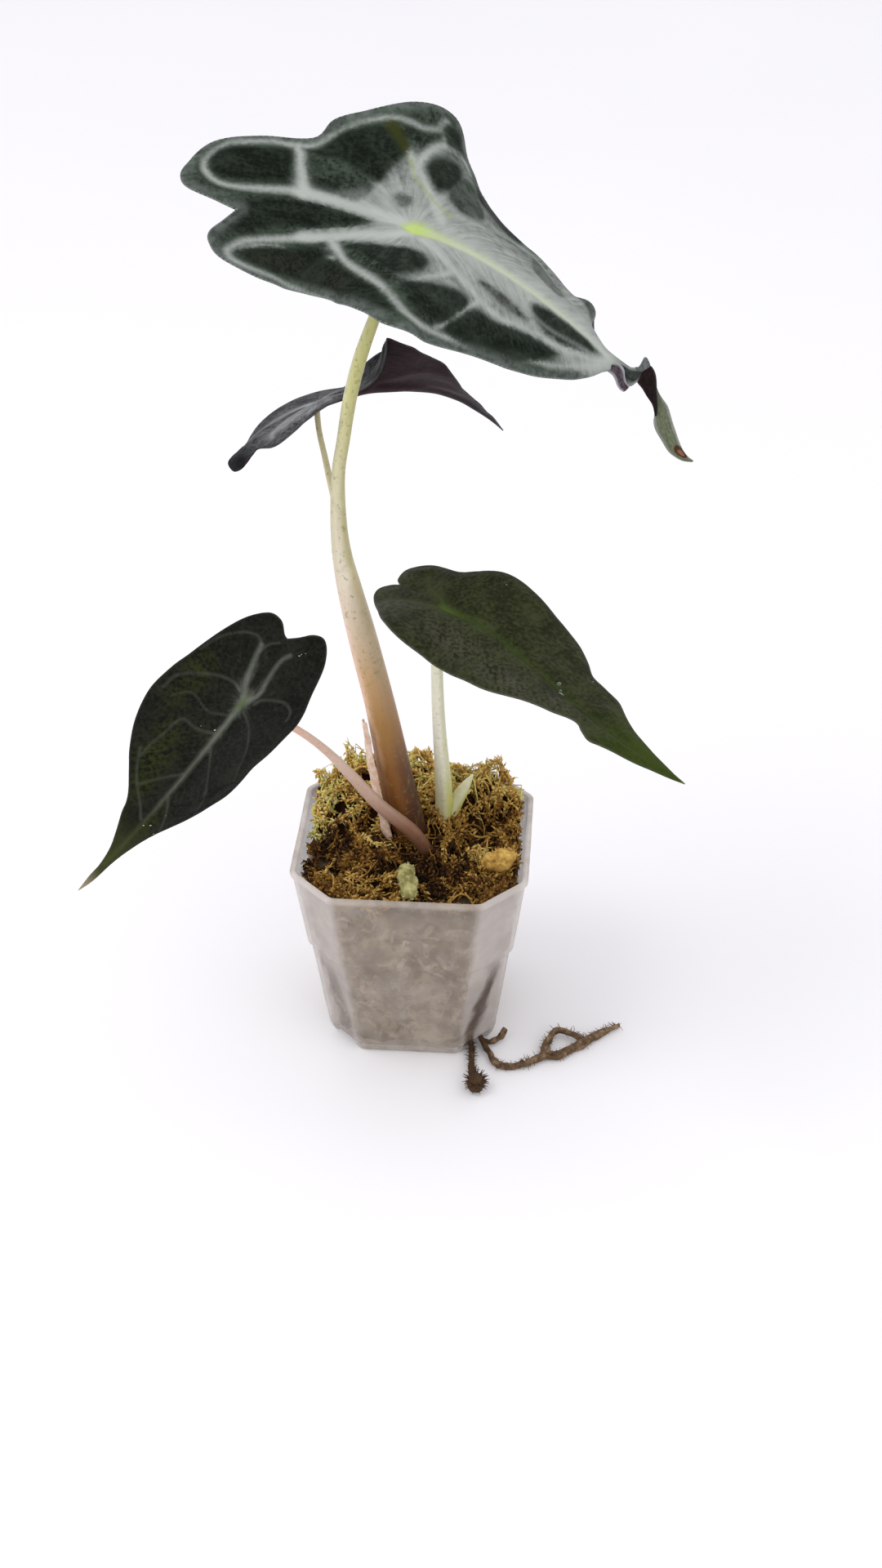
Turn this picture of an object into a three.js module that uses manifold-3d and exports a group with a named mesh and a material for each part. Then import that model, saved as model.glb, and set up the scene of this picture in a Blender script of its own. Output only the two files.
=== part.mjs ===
// A young potted alocasia: four leaves on their petioles, a rhizome with roots, moss and a clear square pot.
// Millimetres, +Z up. The origin is the middle of the pot's foot, and the lower leaves lean towards -Y.

import * as THREE from "three";
import { mergeVertices } from "three/addons/utils/BufferGeometryUtils.js";
import Module from "manifold-3d";

const wasm = await Module();
wasm.setup();

// Driving dimensions of the pot and its filling
const POT_HEIGHT = 55;
const RIM_WIDTH = 58;
const RIM_CHAMFER = 10.5;
const FOOT_WIDTH = 44;
const FOOT_CHAMFER = 9;
const WALL = 0.9;
const FOOT_ROUNDING = [[0, 1.6], [1.5, 0.8], [4, 0.2], [8, 0]];
const FLOOR = 1.2;
const RIM_LIP = 0.5;
const STEP_HEIGHT = 31;
const STEP_DEPTH = 0.7;
const SLOT_WIDTH = 9;
const SLOT_HEIGHT = 3.2;
const CLEARANCE = 0.3;
const CAP_LEAN = 0.15;
const MOSS_LEVEL = 51;
const TUFT_COUNT = 34;

// Driving dimensions of the leaves
const BLADE_THICKNESS = 0.7;
const MIDRIB_DEPTH = 0.8;
const MIDRIB_HALF_WIDTH = 1.4;

// A seeded random generator, so that each run makes the same moss
function randomFrom(seed) {
  let state = seed;
  return () => {
    state = (state * 1664525 + 1013904223) % 4294967296;
    return state / 4294967296;
  };
}

// Smooth curve through the rows of a table whose first column is the place along it
function along(table, place) {
  let i = 0;
  while (i < table.length - 2 && place > table[i + 1][0]) i += 1;
  const slope = (j, column) => {
    const before = table[Math.max(j - 1, 0)];
    const after = table[Math.min(j + 1, table.length - 1)];
    return (after[column] - before[column]) / (after[0] - before[0]);
  };
  const span = table[i + 1][0] - table[i][0];
  const t = THREE.MathUtils.clamp((place - table[i][0]) / span, 0, 1);
  const beyond = place - table[i][0] - t * span;
  return table[i].slice(1).map((start, n) => {
    const column = n + 1;
    const end = table[i + 1][column];
    const curve =
      (2 * t ** 3 - 3 * t ** 2 + 1) * start +
      (t ** 3 - 2 * t ** 2 + t) * span * slope(i, column) +
      (3 * t ** 2 - 2 * t ** 3) * end +
      (t ** 3 - t ** 2) * span * slope(i + 1, column);
    return curve + beyond * slope(t > 0.5 ? i + 1 : i, column);
  });
}

// Closed solid from points and triangles, turned so that its faces point out
function solidOf(points, triangles) {
  const corner = (index) => new THREE.Vector3(...points[index]);
  const sixVolumesOf = ([a, b, c]) => corner(a).dot(corner(b).cross(corner(c)));
  const sixVolumes = triangles.reduce((sum, triangle) => sum + sixVolumesOf(triangle), 0);
  const outward = sixVolumes < 0 ? triangles.map(([a, b, c]) => [a, c, b]) : triangles;
  return new wasm.Manifold(
    new wasm.Mesh({
      numProp: 3,
      vertProperties: new Float32Array(points.flat()),
      triVerts: new Uint32Array(outward.flat()),
    }),
  );
}

// Closed solid through rings of points. Both ends are capped by triangles that meet beside the ring's
// middle, so that the middle itself lies on a face and not on a corner.
function loft(rings) {
  const sides = rings[0].length;
  const points = rings.flat();
  const triangles = [];
  for (let ring = 0; ring < rings.length - 1; ring += 1) {
    for (let side = 0; side < sides; side += 1) {
      const a = ring * sides + side;
      const b = ring * sides + ((side + 1) % sides);
      triangles.push([a, b, b + sides], [a, b + sides, a + sides]);
    }
  }
  const cap = (ring, turned) => {
    const apex = [0, 1, 2].map((axis) => {
      const middle = ring.reduce((sum, point) => sum + point[axis], 0) / sides;
      const edgePoint = ring[0][axis] * 0.65 + ring[1][axis] * 0.35;
      return middle + (edgePoint - middle) * CAP_LEAN;
    });
    const first = rings.indexOf(ring) * sides;
    points.push(apex);
    for (let side = 0; side < sides; side += 1) {
      const edge = [first + side, first + ((side + 1) % sides)];
      triangles.push(turned ? [...edge, points.length - 1] : [...edge.reverse(), points.length - 1]);
    }
  };
  cap(rings[0], false);
  cap(rings[rings.length - 1], true);
  return solidOf(points, triangles);
}

// Tapered tube along a route whose rows are x, y, z, radius; grow widens it for the hole that it stands in
function tube(route, sides, stepsPerSpan, grow = 0) {
  const table = route.map((row, index) => [index, ...row]);
  const count = (route.length - 1) * stepsPerSpan;
  const rows = Array.from({ length: count + 1 }, (_, step) => along(table, step / stepsPerSpan));
  const places = rows.map(([x, y, z]) => new THREE.Vector3(x, y, z));
  for (const [end, inner] of [[0, 1], [count, count - 1]]) {
    places[end].add(places[end].clone().sub(places[inner]).setLength(grow));
  }
  let across = new THREE.Vector3(0.31, 0.27, 0.91);
  const rings = rows.map((row, step) => {
    const ahead = places[Math.min(step + 1, count)].clone().sub(places[Math.max(step - 1, 0)]).normalize();
    across = across.clone().addScaledVector(ahead, -across.dot(ahead)).normalize();
    const third = ahead.clone().cross(across);
    return Array.from({ length: sides }, (_, side) => {
      const angle = (side / sides) * 2 * Math.PI;
      return places[step]
        .clone()
        .addScaledVector(across, Math.cos(angle) * (row[3] + grow))
        .addScaledVector(third, Math.sin(angle) * (row[3] + grow))
        .toArray();
    });
  });
  return loft(rings);
}

// Closed box or ball of three.js as a solid
function solidFrom(geometry) {
  geometry.deleteAttribute("normal");
  geometry.deleteAttribute("uv");
  const merged = mergeVertices(geometry);
  return new wasm.Manifold(
    new wasm.Mesh({
      numProp: 3,
      vertProperties: merged.attributes.position.array,
      triVerts: new Uint32Array(merged.index.array),
    }),
  );
}

function ball(place, size, sides = 10) {
  const geometry = new THREE.SphereGeometry(1, sides, Math.round(sides * 0.7));
  geometry.scale(...size);
  geometry.translate(...place);
  return solidFrom(geometry);
}

function join(solids) {
  return solids.reduce((whole, solid) => whole.add(solid));
}

// The largest body of a cut solid, without the loose scraps
function largestOf(solid) {
  return solid.decompose().sort((a, b) => b.volume() - a.volume())[0];
}

// Leaves
//
// A leaf is drawn flat first: along runs on its midrib from 0 at the petiole to the tip, with the lobes
// behind at negative places, and across runs to its left side (seen from above, looking to the tip) and
// its right side. Its stations bend it: place along, x, y, z of the midrib, roll, then fold and curl of
// the left and right halves. Folds are degrees up from flat, and curls are hundredths of a radian for
// each millimetre outward.
const LEAVES = {
  top: {
    stations: [
      [-45, -42, -5.6, 218.3, 16, -5, 0.6, 1, -0.5],
      [-30, -28.8, 1.3, 214.8, 29, -1, 0.8, -1, 0.8],
      [-15, -14.6, 3.8, 212.8, 33, 4, 0.7, 1, 1.2],
      [0, 0.4, 2.6, 211.6, 27, 9, 0, 10, 0],
      [10, 9.8, 3, 208.1, 23, 0, -0.9, 2, -0.3],
      [20, 18.6, 3.1, 203.4, 20, -13, -0.9, -6, -0.2],
      [32, 28.7, 2.1, 196.9, 19, -18, 0, -14, 0],
      [44, 38, 1.7, 189.4, 20, -14, 0.1, -16, -0.1],
      [50, 42.9, 2, 184.2, 24, -8, 0, -22, 0],
      [54, 46.6, 2, 181, 35, 0, 0, -12, 0],
      [58, 50, 1.8, 179.4, 62, 0, 0, 0, 0],
      [60.5, 51.4, 1.5, 177.3, 60, 0, 0, 75, 0],
      [63.5, 52.8, 1.5, 174.6, 60, -5, 0, 125, 0],
      [67, 54, 1.5, 171.3, 60, -10, 0, 130, 0],
      [71, 55.1, 1.2, 167.5, 60, -10, 0, 130, 0],
      [74.5, 57, 0.8, 164.5, 60, -10, 0, 120, 0],
      [78.5, 59.7, 0.3, 162, 60, -10, 0, 110, 0],
      [82.5, 63.2, 0.3, 160.6, 60, -10, 0, 100, 0],
    ],
    left: [
      [-38.5, 0], [-41.5, 2], [-47, 6], [-48, 10], [-46, 14], [-39.5, 19], [-31, 19.7], [-22, 19.2],
      [-18.5, 23.5], [-13, 26.2], [-6, 29.7], [1, 32], [5.5, 33], [8.5, 28.5], [12, 24.5], [17, 26],
      [24, 25.5], [31, 21], [38, 15], [42.5, 15.2], [45, 12.5], [47, 6.5], [50, 2.2], [53.5, 1.2],
      [55.5, 1.4], [57.3, 4.8], [58.4, 4.6], [59.8, 2.6], [63, 2.8], [67, 3.6], [71, 4.2], [75, 3.9],
      [78, 2.6], [80.5, 1.4], [82.5, 0],
    ],
    right: [
      [-38.5, 0], [-42, 3.2], [-46.5, 8], [-47.5, 12], [-46, 15.5], [-40, 18.6], [-33, 20.2], [-22, 22],
      [-11, 25.3], [-4.5, 28.6], [0, 32.4], [5, 31.6], [12, 29.4], [21, 26], [30, 22.1], [38, 18.4],
      [44, 13], [48.5, 7.2], [51, 3.8], [53.5, 2.4], [56, 4.6], [58, 3.8], [61, 3], [64, 3], [67, 2.6],
      [71, 1.4], [75, 0.8], [79, 0.6], [82.5, 0],
    ],
    rows: 60,
    columns: 5,
  },
  back: {
    stations: [
      [-20, -38.1, 2.9, 159.8, -29, -20, 0, -11, 0],
      [-10, -31, 9.7, 162.5, -21, -4, 0, 2, 0],
      [0, -22.6, 14.4, 165.5, -20, -2, 0, 7, 0],
      [8, -15.3, 18, 167, -20, -4, 0, 10, 0.4],
      [11.5, -12.1, 19.5, 167.1, -18, 0, 0, 34, 1.2],
      [15, -8.9, 21, 166.8, -13, 4, 0, 29, 1.8],
      [23, -2, 24.8, 165, 5, 20, 0, 41, 1.7],
      [34, 5, 32, 160.1, 13, 15, 0, 29, 0.5],
      [46, 11.4, 39.8, 153.1, 14, 10, 0, 23, 0],
      [61, 18.8, 49, 143.4, 8, 9, 0, 20, 0],
    ],
    left: [
      [-18.5, 0], [-20.5, 2], [-23.5, 6], [-23, 10.5], [-14, 13], [-4, 13.5], [4.5, 14.5], [13.5, 16],
      [21.5, 13], [32.5, 8.5], [44, 5.5], [53, 2.5], [61, 0],
    ],
    right: [
      [-18.5, 0], [-20, 2.5], [-22, 6.5], [-20.5, 10.5], [-12, 12.5], [-4, 13], [4, 14], [8.5, 15.8],
      [12.2, 18.4], [16, 16.6], [21.5, 12.4], [32.5, 7.5], [44, 5], [53, 2.5], [61, 0],
    ],
    rows: 30,
    columns: 4,
  },
  left: {
    stations: [
      [-18, -22.4, -46.5, 139.4, -42, -10, 0, -12, 0],
      [-8, -27, -53.9, 134.4, -59, -19, 0, -12, 0],
      [0, -31, -59.3, 130.1, -70, -24, 0, -12, 0],
      [12, -38, -65.3, 122.4, -73, -28, 0, -15, 0],
      [26, -46.7, -70.4, 112.7, -69, -24, 0, -14, 0],
      [40, -55.9, -74, 102.7, -60, -17, 0, -10, 0],
      [55, -66.1, -77.8, 92.4, -49, -10, 0, -9, 0],
    ],
    left: [
      [-17, 0], [-18.5, 2], [-21.5, 5.5], [-19.5, 8.5], [-13.5, 11], [-6, 14.5], [3.5, 17],
      [13.5, 16.5], [22.5, 12.5], [30.5, 7.5], [39.5, 3.5], [47.5, 1.5], [55, 0],
    ],
    right: [
      [-17, 0], [-18, 2.5], [-20.5, 6], [-18.5, 9], [-13, 11.5], [-6, 14.5], [3.5, 17], [13.5, 16.5],
      [22.5, 12.5], [30.5, 7], [39.5, 3.2], [47.5, 1.4], [55, 0],
    ],
    rows: 30,
    columns: 4,
  },
  right: {
    stations: [
      [-20, -4.9, -5.5, 130.7, 14, -3, 0, -8, 0],
      [-10, 1.9, -12.8, 131.5, 6, 6, 0, 4, 0],
      [0, 9, -19.8, 131.9, 4, 7, 0, 6, 0],
      [12, 18.9, -26.5, 130.7, 7, 1, 0, -2, 0],
      [26, 29.1, -35.5, 127.5, 0, -1, 0, 0, 0],
      [40, 38.9, -44.9, 123.9, -4, 4, 0, 6, 0],
      [55, 49.7, -54.9, 121.1, -3, 0, 0, 2, 0],
      [71, 62.8, -62.1, 115.5, 1, -17, 0, -17, 0],
    ],
    left: [
      [-16, 0], [-19, 1.6], [-19.5, 4], [-17, 7.5], [-13.5, 9.6], [-8, 11], [-5, 13.8], [0, 16.4],
      [5.5, 17.2], [12, 16], [18, 14.5], [25, 14.6], [30, 13], [35.5, 10], [44, 8.6], [52, 5.5],
      [61, 2.9], [68, 0.9], [71, 0],
    ],
    right: [
      [-16, 0], [-18.5, 2], [-19, 5], [-17, 7], [-11, 10.8], [-5, 13.5], [1, 16.4], [9, 16], [17, 15.5],
      [26, 15], [32, 11.6], [39, 9.2], [43, 6.4], [46, 5.2], [50, 7], [54, 6], [60, 3.8], [65, 2.3],
      [71, 0],
    ],
    rows: 36,
    columns: 4,
  },
};

// The place and upward direction of a point of a leaf
function bend(leaf, place, across) {
  const { stations } = leaf;
  const [x, y, z, roll, leftFold, leftCurl, rightFold, rightCurl] = along(stations, place);
  const heading = new THREE.Vector3(...stations[stations.length - 1].slice(1, 4));
  heading.sub(new THREE.Vector3(...stations[0].slice(1, 4)));
  const ahead = new THREE.Vector3(...along(stations, place + 0.5).slice(0, 3));
  ahead.sub(new THREE.Vector3(...along(stations, place - 0.5).slice(0, 3))).normalize();
  const level = new THREE.Vector3(-heading.y, heading.x, 0);
  level.addScaledVector(ahead, -level.dot(ahead)).normalize();
  const above = ahead.clone().cross(level);
  const turn = THREE.MathUtils.degToRad(roll);
  const side = level.clone().multiplyScalar(Math.cos(turn)).addScaledVector(above, Math.sin(turn));
  const up = above.clone().multiplyScalar(Math.cos(turn)).addScaledVector(level, -Math.sin(turn));
  const fold = THREE.MathUtils.degToRad(across < 0 ? rightFold : leftFold);
  const curl = (across < 0 ? rightCurl : leftCurl) / 100;
  const reach = Math.abs(across);
  const hand = Math.sign(across);
  const steps = 4;
  let out = 0;
  let rise = 0;
  for (let step = 0; step < steps; step += 1) {
    const angle = fold + (curl * reach * (step + 0.5)) / steps;
    out += (Math.cos(angle) * reach) / steps;
    rise += (Math.sin(angle) * reach) / steps;
  }
  const normalAt = (tilt, facing) => {
    return up.clone().multiplyScalar(Math.cos(tilt)).addScaledVector(side, -facing * Math.sin(tilt));
  };
  const [leftTilt, rightTilt] = [leftFold, rightFold].map(THREE.MathUtils.degToRad);
  const normal =
    across === 0 ? normalAt(leftTilt, 1).add(normalAt(rightTilt, -1)) : normalAt(fold + curl * reach, hand);
  return {
    point: new THREE.Vector3(x, y, z).addScaledVector(side, hand * out).addScaledVector(up, rise),
    normal: normal.normalize(),
    crease: across === 0 ? Math.abs(Math.cos((leftTilt + rightTilt) / 2)) : 1,
  };
}

// Points at even steps along a half's outline, from the notch between the lobes round to the tip
function outlineRows(half, rows) {
  const table = half.map((row, index) => [index, ...row]);
  const fine = 400;
  const points = Array.from({ length: fine + 1 }, (_, i) => along(table, (i / fine) * (half.length - 1)));
  const lengths = [0];
  for (let i = 1; i <= fine; i += 1) {
    const [step, rise] = [points[i][0] - points[i - 1][0], points[i][1] - points[i - 1][1]];
    lengths.push(lengths[i - 1] + Math.hypot(step, rise));
  }
  return Array.from({ length: rows + 1 }, (_, row) => {
    const wanted = (row / rows) * lengths[fine];
    const index = lengths.findIndex((length) => length >= wanted - 1e-9);
    return points[index];
  });
}

// A blade: rays run from the midrib to the outline on each half, and both faces share one triangle pattern
function blade(leaf, thickness = BLADE_THICKNESS) {
  const { rows, columns } = leaf;
  const points = [];
  const triangles = [];
  const vertex = (place, across, rib) => {
    const { point, normal, crease } = bend(leaf, place, across);
    points.push(point.clone().addScaledVector(normal, thickness / 2 / Math.max(crease, 0.4)).toArray());
    points.push(point.clone().addScaledVector(normal, -thickness / 2 - rib).toArray());
    return points.length - 2;
  };
  const first = leaf.left[0][0];
  const last = leaf.left[leaf.left.length - 1][0];
  const midribPlace = (row) => first + ((last - first) * row) / rows;
  const midrib = Array.from({ length: rows + 1 }, (_, row) => {
    const rib = MIDRIB_DEPTH * Math.sqrt(1 - row / rows) * (row > 0 ? 1 : 0);
    return vertex(midribPlace(row), 0, rib);
  });
  for (const hand of [1, -1]) {
    const outline = outlineRows(hand > 0 ? leaf.left : leaf.right, rows);
    const grid = outline.map(([place, across], row) => {
      if (row === 0 || row === rows) return Array(columns + 1).fill(midrib[row]);
      const start = midribPlace(row);
      const ray = Math.hypot(place - start, across);
      const near = Math.min(MIDRIB_HALF_WIDTH, ray * 0.4) / ray;
      const line = [midrib[row]];
      for (let column = 1; column <= columns; column += 1) {
        const share = near + ((1 - near) * (column - 1)) / (columns - 1);
        line.push(vertex(start + (place - start) * share, hand * across * share, 0));
      }
      return line;
    });
    const face = (a, b, c) => {
      if (a === b || b === c || a === c) return;
      const turned = hand > 0 ? [a, b, c] : [a, c, b];
      triangles.push(turned, [turned[0] + 1, turned[2] + 1, turned[1] + 1]);
    };
    for (let row = 0; row < rows; row += 1) {
      for (let column = 0; column < columns; column += 1) {
        face(grid[row][column], grid[row + 1][column + 1], grid[row][column + 1]);
        face(grid[row][column], grid[row + 1][column], grid[row + 1][column + 1]);
      }
      const a = grid[row][columns];
      const b = grid[row + 1][columns];
      const wall = [[a, b, b + 1], [a, b + 1, a + 1]];
      triangles.push(...wall.map(([p, q, r]) => (hand > 0 ? [p, q, r] : [p, r, q])));
    }
  }
  return solidOf(points, triangles);
}

// Petioles: rows are x, y, z, radius, from the rhizome to the blade
const PETIOLES = {
  top: [
    [0, 4, 47, 3.4], [-1, 3.4, 52, 4.1], [-3.4, 2.4, 63, 4.3], [-5.9, 1.5, 78, 4], [-8.4, 1, 93, 3.6],
    [-11.8, 0.3, 110, 3.4], [-14.6, 0, 124, 2.9], [-16.4, 0, 135, 2.2], [-16.9, 0, 145, 1.8],
    [-16.6, 0.2, 155, 1.55], [-15.3, 0.5, 163, 1.5], [-13.6, 1, 173, 1.55], [-11, 1, 183, 1.5],
    [-7.4, 1.5, 193, 1.3], [-2.8, 2, 204, 1.25], [-0.2, 2.2, 210, 1.5],
  ],
  back: [
    [-16.9, 0, 138, 0.7], [-17.4, 0.6, 145, 0.75], [-18.8, 2.4, 151, 0.75], [-20.2, 5.4, 155.6, 0.7],
    [-21.9, 9.2, 160.7, 0.65], [-22.9, 13.1, 165.9, 0.8],
  ],
  left: [
    [0.6, -3.2, 47, 1.4], [-2.4, -4, 52.5, 1.45], [-9, -7, 66, 1.35], [-14, -13.5, 81, 1.15],
    [-18.5, -24, 95, 0.95], [-22.8, -38.5, 110, 0.85], [-27.2, -50.5, 121, 0.8], [-30.2, -57.8, 129, 1],
  ],
  right: [
    [5.6, 7.8, 47, 1.8], [6.8, 9.4, 53, 2.4], [6.8, 8.2, 64, 2.1], [6.2, 4, 81, 1.7], [6.1, -2.5, 97, 1.5],
    [6.4, -8.6, 111, 1.4], [7.3, -14.4, 122.5, 1.3], [8.8, -19.4, 130.4, 1.5],
  ],
};

const PETIOLE_SIDES = 10;
const PETIOLE_STEPS = 2;

const petiole = (name, grow = 0) => tube(PETIOLES[name], PETIOLE_SIDES, PETIOLE_STEPS, grow);

// The blades with room round them, which the tops of the petioles are cut to
const bladeRoom = (name) => blade(LEAVES[name], BLADE_THICKNESS + 2 * CLEARANCE);

// Pot

// Square with cut corners, as a ring of points at a height
function cutSquare(width, chamfer, height, splits = 1) {
  const half = width / 2;
  const flat = half - chamfer;
  const corners = [
    [-flat, -half], [flat, -half], [half, -flat], [half, flat],
    [flat, half], [-flat, half], [-half, flat], [-half, -flat],
  ];
  return corners.flatMap(([x, y], index) => {
    const [nextX, nextY] = corners[(index + 1) % corners.length];
    return Array.from({ length: splits }, (_, split) => {
      const share = split / splits;
      return [x + (nextX - x) * share, y + (nextY - y) * share, height];
    });
  });
}

// A chamfered corner that moves in with its sides loses this share of the inset from each side
const CHAMFER_SHARE = 2 - Math.SQRT2;

// Width and chamfer of the pot's outside at a height, with the rounded foot and the step at mid height
function potSection(height) {
  const share = height / POT_HEIGHT;
  const stepIn = height < STEP_HEIGHT ? STEP_DEPTH * Math.min(1, height / 6) : 0;
  const [rounding] = along(FOOT_ROUNDING, Math.min(height, FOOT_ROUNDING[FOOT_ROUNDING.length - 1][0]));
  const moveIn = stepIn + rounding;
  return {
    width: FOOT_WIDTH + (RIM_WIDTH - FOOT_WIDTH) * share - 2 * moveIn,
    chamfer: FOOT_CHAMFER + (RIM_CHAMFER - FOOT_CHAMFER) * share - moveIn * CHAMFER_SHARE,
  };
}

// Ring of the pot's section, moved in by an inset
function potRing(height, inset, splits = 1, atHeight = height) {
  const { width, chamfer } = potSection(height);
  return cutSquare(width - 2 * inset, chamfer - inset * CHAMFER_SHARE, atHeight, splits);
}

// Heights at which the inside of the pot changes its slope
const HOLLOW_HEIGHTS = [4, 8, STEP_HEIGHT - 0.6, STEP_HEIGHT + 0.4, POT_HEIGHT];

// The hollow of the pot, moved in by an inset and carried on straight above the rim
function potHollow(inset, floor, headroom = 1) {
  const rings = [floor, ...HOLLOW_HEIGHTS].map((height) => potRing(height, inset));
  return loft([...rings, potRing(POT_HEIGHT, inset, 1, POT_HEIGHT + headroom)]);
}

function pot() {
  const lip = POT_HEIGHT - 1.6;
  const outside = loft([
    ...FOOT_ROUNDING.map(([height]) => potRing(height, 0)),
    potRing(STEP_HEIGHT - 0.6, 0),
    potRing(STEP_HEIGHT + 0.4, 0),
    potRing(lip - 0.5, 0),
    potRing(lip, -RIM_LIP),
    potRing(POT_HEIGHT, -RIM_LIP),
  ]);
  const slots = [45, 135, 225, 315].map((angle) => {
    const reach = 8;
    const geometry = new THREE.BoxGeometry(reach, SLOT_WIDTH, SLOT_HEIGHT + 1);
    geometry.translate(FOOT_WIDTH / 2 + 0.2 + reach / 2, 0, SLOT_HEIGHT / 2 - 0.5);
    geometry.rotateZ(THREE.MathUtils.degToRad(angle));
    return solidFrom(geometry);
  });
  return outside.subtract(potHollow(WALL, FLOOR)).subtract(join(slots));
}

// Rhizome with the roots that run through the moss: rows are x, y, z, radius
const RHIZOME = [
  [1.5, 5, 22, 2.5], [1.2, 4.8, 25, 5.2], [1.5, 4.5, 31, 6.4], [1.8, 4.6, 36, 5.8],
  [1.8, 3.8, 40.5, 6.8], [2, 3.6, 45.7, 6.2],
];
const INNER_ROOTS = [
  [[-2, 3, 38, 1], [-10, -4, 33, 0.9], [-16, -12, 22, 0.8], [-17, -14, 9, 0.7]],
  [[4, 6, 36, 1], [12, 12, 30, 0.9], [18, 14, 18, 0.8], [15, 13, 6, 0.7]],
  [[3, 1, 34, 1], [8, -8, 28, 0.9], [4, -17, 18, 0.8], [-2, -16, 7, 0.7]],
  [[1.5, 4, 24, 1.1], [3, 1, 15, 0.9], [-3, -3, 6, 0.7]],
];
const ROOT_SIDES = 6;

function rhizome(grow = 0) {
  const roots = INNER_ROOTS.map((route) => tube(route, ROOT_SIDES, 2, grow));
  return join([tube(RHIZOME, 12, 2, grow), ...roots]);
}

// Roots that come out of the drain slot at the front right corner and lie on the surface
const SHORT_ROOT = [
  [19, -15.5, 25, 0.7], [17.8, -16, 17, 0.8], [16.3, -16.2, 9, 0.85], [15.5, -15.8, 4.2, 0.8],
  [15.7, -17.4, 1.7, 0.7], [16.1, -20.5, 1.25, 0.75], [16.5, -27, 1.1, 0.85], [17.6, -32.6, 1.8, 0.9],
];
const SHORT_ROOT_CLUMP = { place: [17.9, -33.4, 2.05], size: [2.2, 3, 1.95] };
const TRAILING_ROOT = [
  [15.4, -12, 7, 0.8], [16.6, -13.6, 3.4, 0.7], [18.4, -16.4, 1.6, 0.7], [20.4, -20.4, 1.2, 0.8],
  [22.4, -24.2, 1.05, 0.9], [25.2, -25.6, 1, 0.85], [28.6, -24.8, 1, 0.8], [31.8, -23.2, 1.05, 0.9],
  [35.2, -20.8, 1.2, 1.1], [38.6, -20.6, 1.2, 1.1], [42, -17.8, 1.2, 1.1], [45.5, -14.8, 1.2, 1.1],
  [49, -11.4, 1.1, 0.9], [54, -7.4, 0.8, 0.6],
];
const TRAILING_BRANCHES = [
  [
    [34.6, -20.8, 1.1, 0.9], [35.4, -16.4, 1.4, 0.9], [37.6, -11.6, 1.6, 0.8], [41.6, -12.4, 1.5, 0.8],
    [45.6, -14.6, 1.3, 0.8],
  ],
  [[18.4, -16.4, 1.6, 0.7], [21, -16.8, 1.3, 0.7], [23.4, -14.8, 1.9, 0.8], [24.4, -13, 2.6, 0.8]],
];

function shortRoot(grow = 0) {
  const { place, size } = SHORT_ROOT_CLUMP;
  return join([tube(SHORT_ROOT, ROOT_SIDES, 2, grow), ball(place, size.map((half) => half + grow))]);
}

function trailingRoot(grow = 0) {
  const routes = [TRAILING_ROOT, ...TRAILING_BRANCHES];
  return join(routes.map((route) => tube(route, ROOT_SIDES, 2, grow)));
}

// Moss

// Height of the moss over a place: level at the front, higher at the back, with lumps
function mossHeight(x, y) {
  const broadLumps = Math.sin(x * 0.31 + 1.3) * Math.cos(y * 0.27 - 0.4);
  const smallLumps = 0.7 * Math.sin(x * 0.63 - y * 0.52 + 2);
  const backRise = 6.5 * THREE.MathUtils.smoothstep(y, -6, 24);
  const backLeftLump = 3 * Math.exp(-((x + 15) ** 2 + (y - 18) ** 2) / 120);
  const crownDip = 2.5 * Math.exp(-((x - 3) ** 2 + (y + 5) ** 2) / 60);
  return MOSS_LEVEL + backRise + backLeftLump + 1.3 * (broadLumps + smallLumps) - crownDip;
}

function mossMound() {
  const splits = 5;
  const inset = WALL + CLEARANCE;
  const levels = [FLOOR + CLEARANCE, ...HOLLOW_HEIGHTS.slice(0, -1), 44];
  const rings = levels.map((height) => potRing(height, inset, splits));
  const shares = [1, 0.93, 0.8, 0.66, 0.52, 0.38, 0.24, 0.1];
  const top = shares.map((share) =>
    potRing(POT_HEIGHT - 4, inset, splits).map(([x, y]) => {
      const edgeDrop = share === 1 ? 2 : 0;
      return [x * share, y * share, mossHeight(x * share, y * share) - edgeDrop];
    }),
  );
  return loft([...rings, ...top]);
}

// Loose strands that rise from the mound and bend over, with more and taller ones at the back
function mossTufts() {
  const random = randomFrom(7);
  return Array.from({ length: TUFT_COUNT }, () => {
    const angle = random() * 2 * Math.PI;
    const reach = 27 * Math.sqrt(0.1 + 0.9 * random());
    const x = reach * Math.cos(angle);
    const y = reach * Math.sin(angle);
    const heading = random() * 2 * Math.PI;
    const length = 5 + 7 * random();
    const rise = (1.5 + 2 * random()) * (y > 8 ? 1.2 : 1);
    const radius = 0.9 + 0.6 * random();
    const route = [0, 0.45, 1].map((share) => {
      const px = x + share * length * Math.cos(heading + share);
      const py = y + share * length * Math.sin(heading + share);
      const lift = share === 0 ? -2.5 : rise * (1.6 - share);
      return [px, py, mossHeight(px, py) + lift, radius * (1.2 - 0.8 * share)];
    });
    return tube(route, 4, 2);
  });
}

function moss() {
  const room = potHollow(WALL + CLEARANCE, FLOOR + CLEARANCE, 20);
  const filling = join([mossMound(), ...mossTufts()]).intersect(room);
  const holes = [
    ...["top", "left", "right"].map((name) => petiole(name, CLEARANCE)),
    rhizome(CLEARANCE),
    shortRoot(CLEARANCE),
    trailingRoot(CLEARANCE),
    tube(CATAPHYLL, 8, 3, CLEARANCE),
    tube(YELLOW_CHUNK, 8, 2, CLEARANCE),
    tube(PALE_SPRIG, 8, 2, CLEARANCE),
  ];
  return largestOf(filling.subtract(join(holes)));
}

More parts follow.
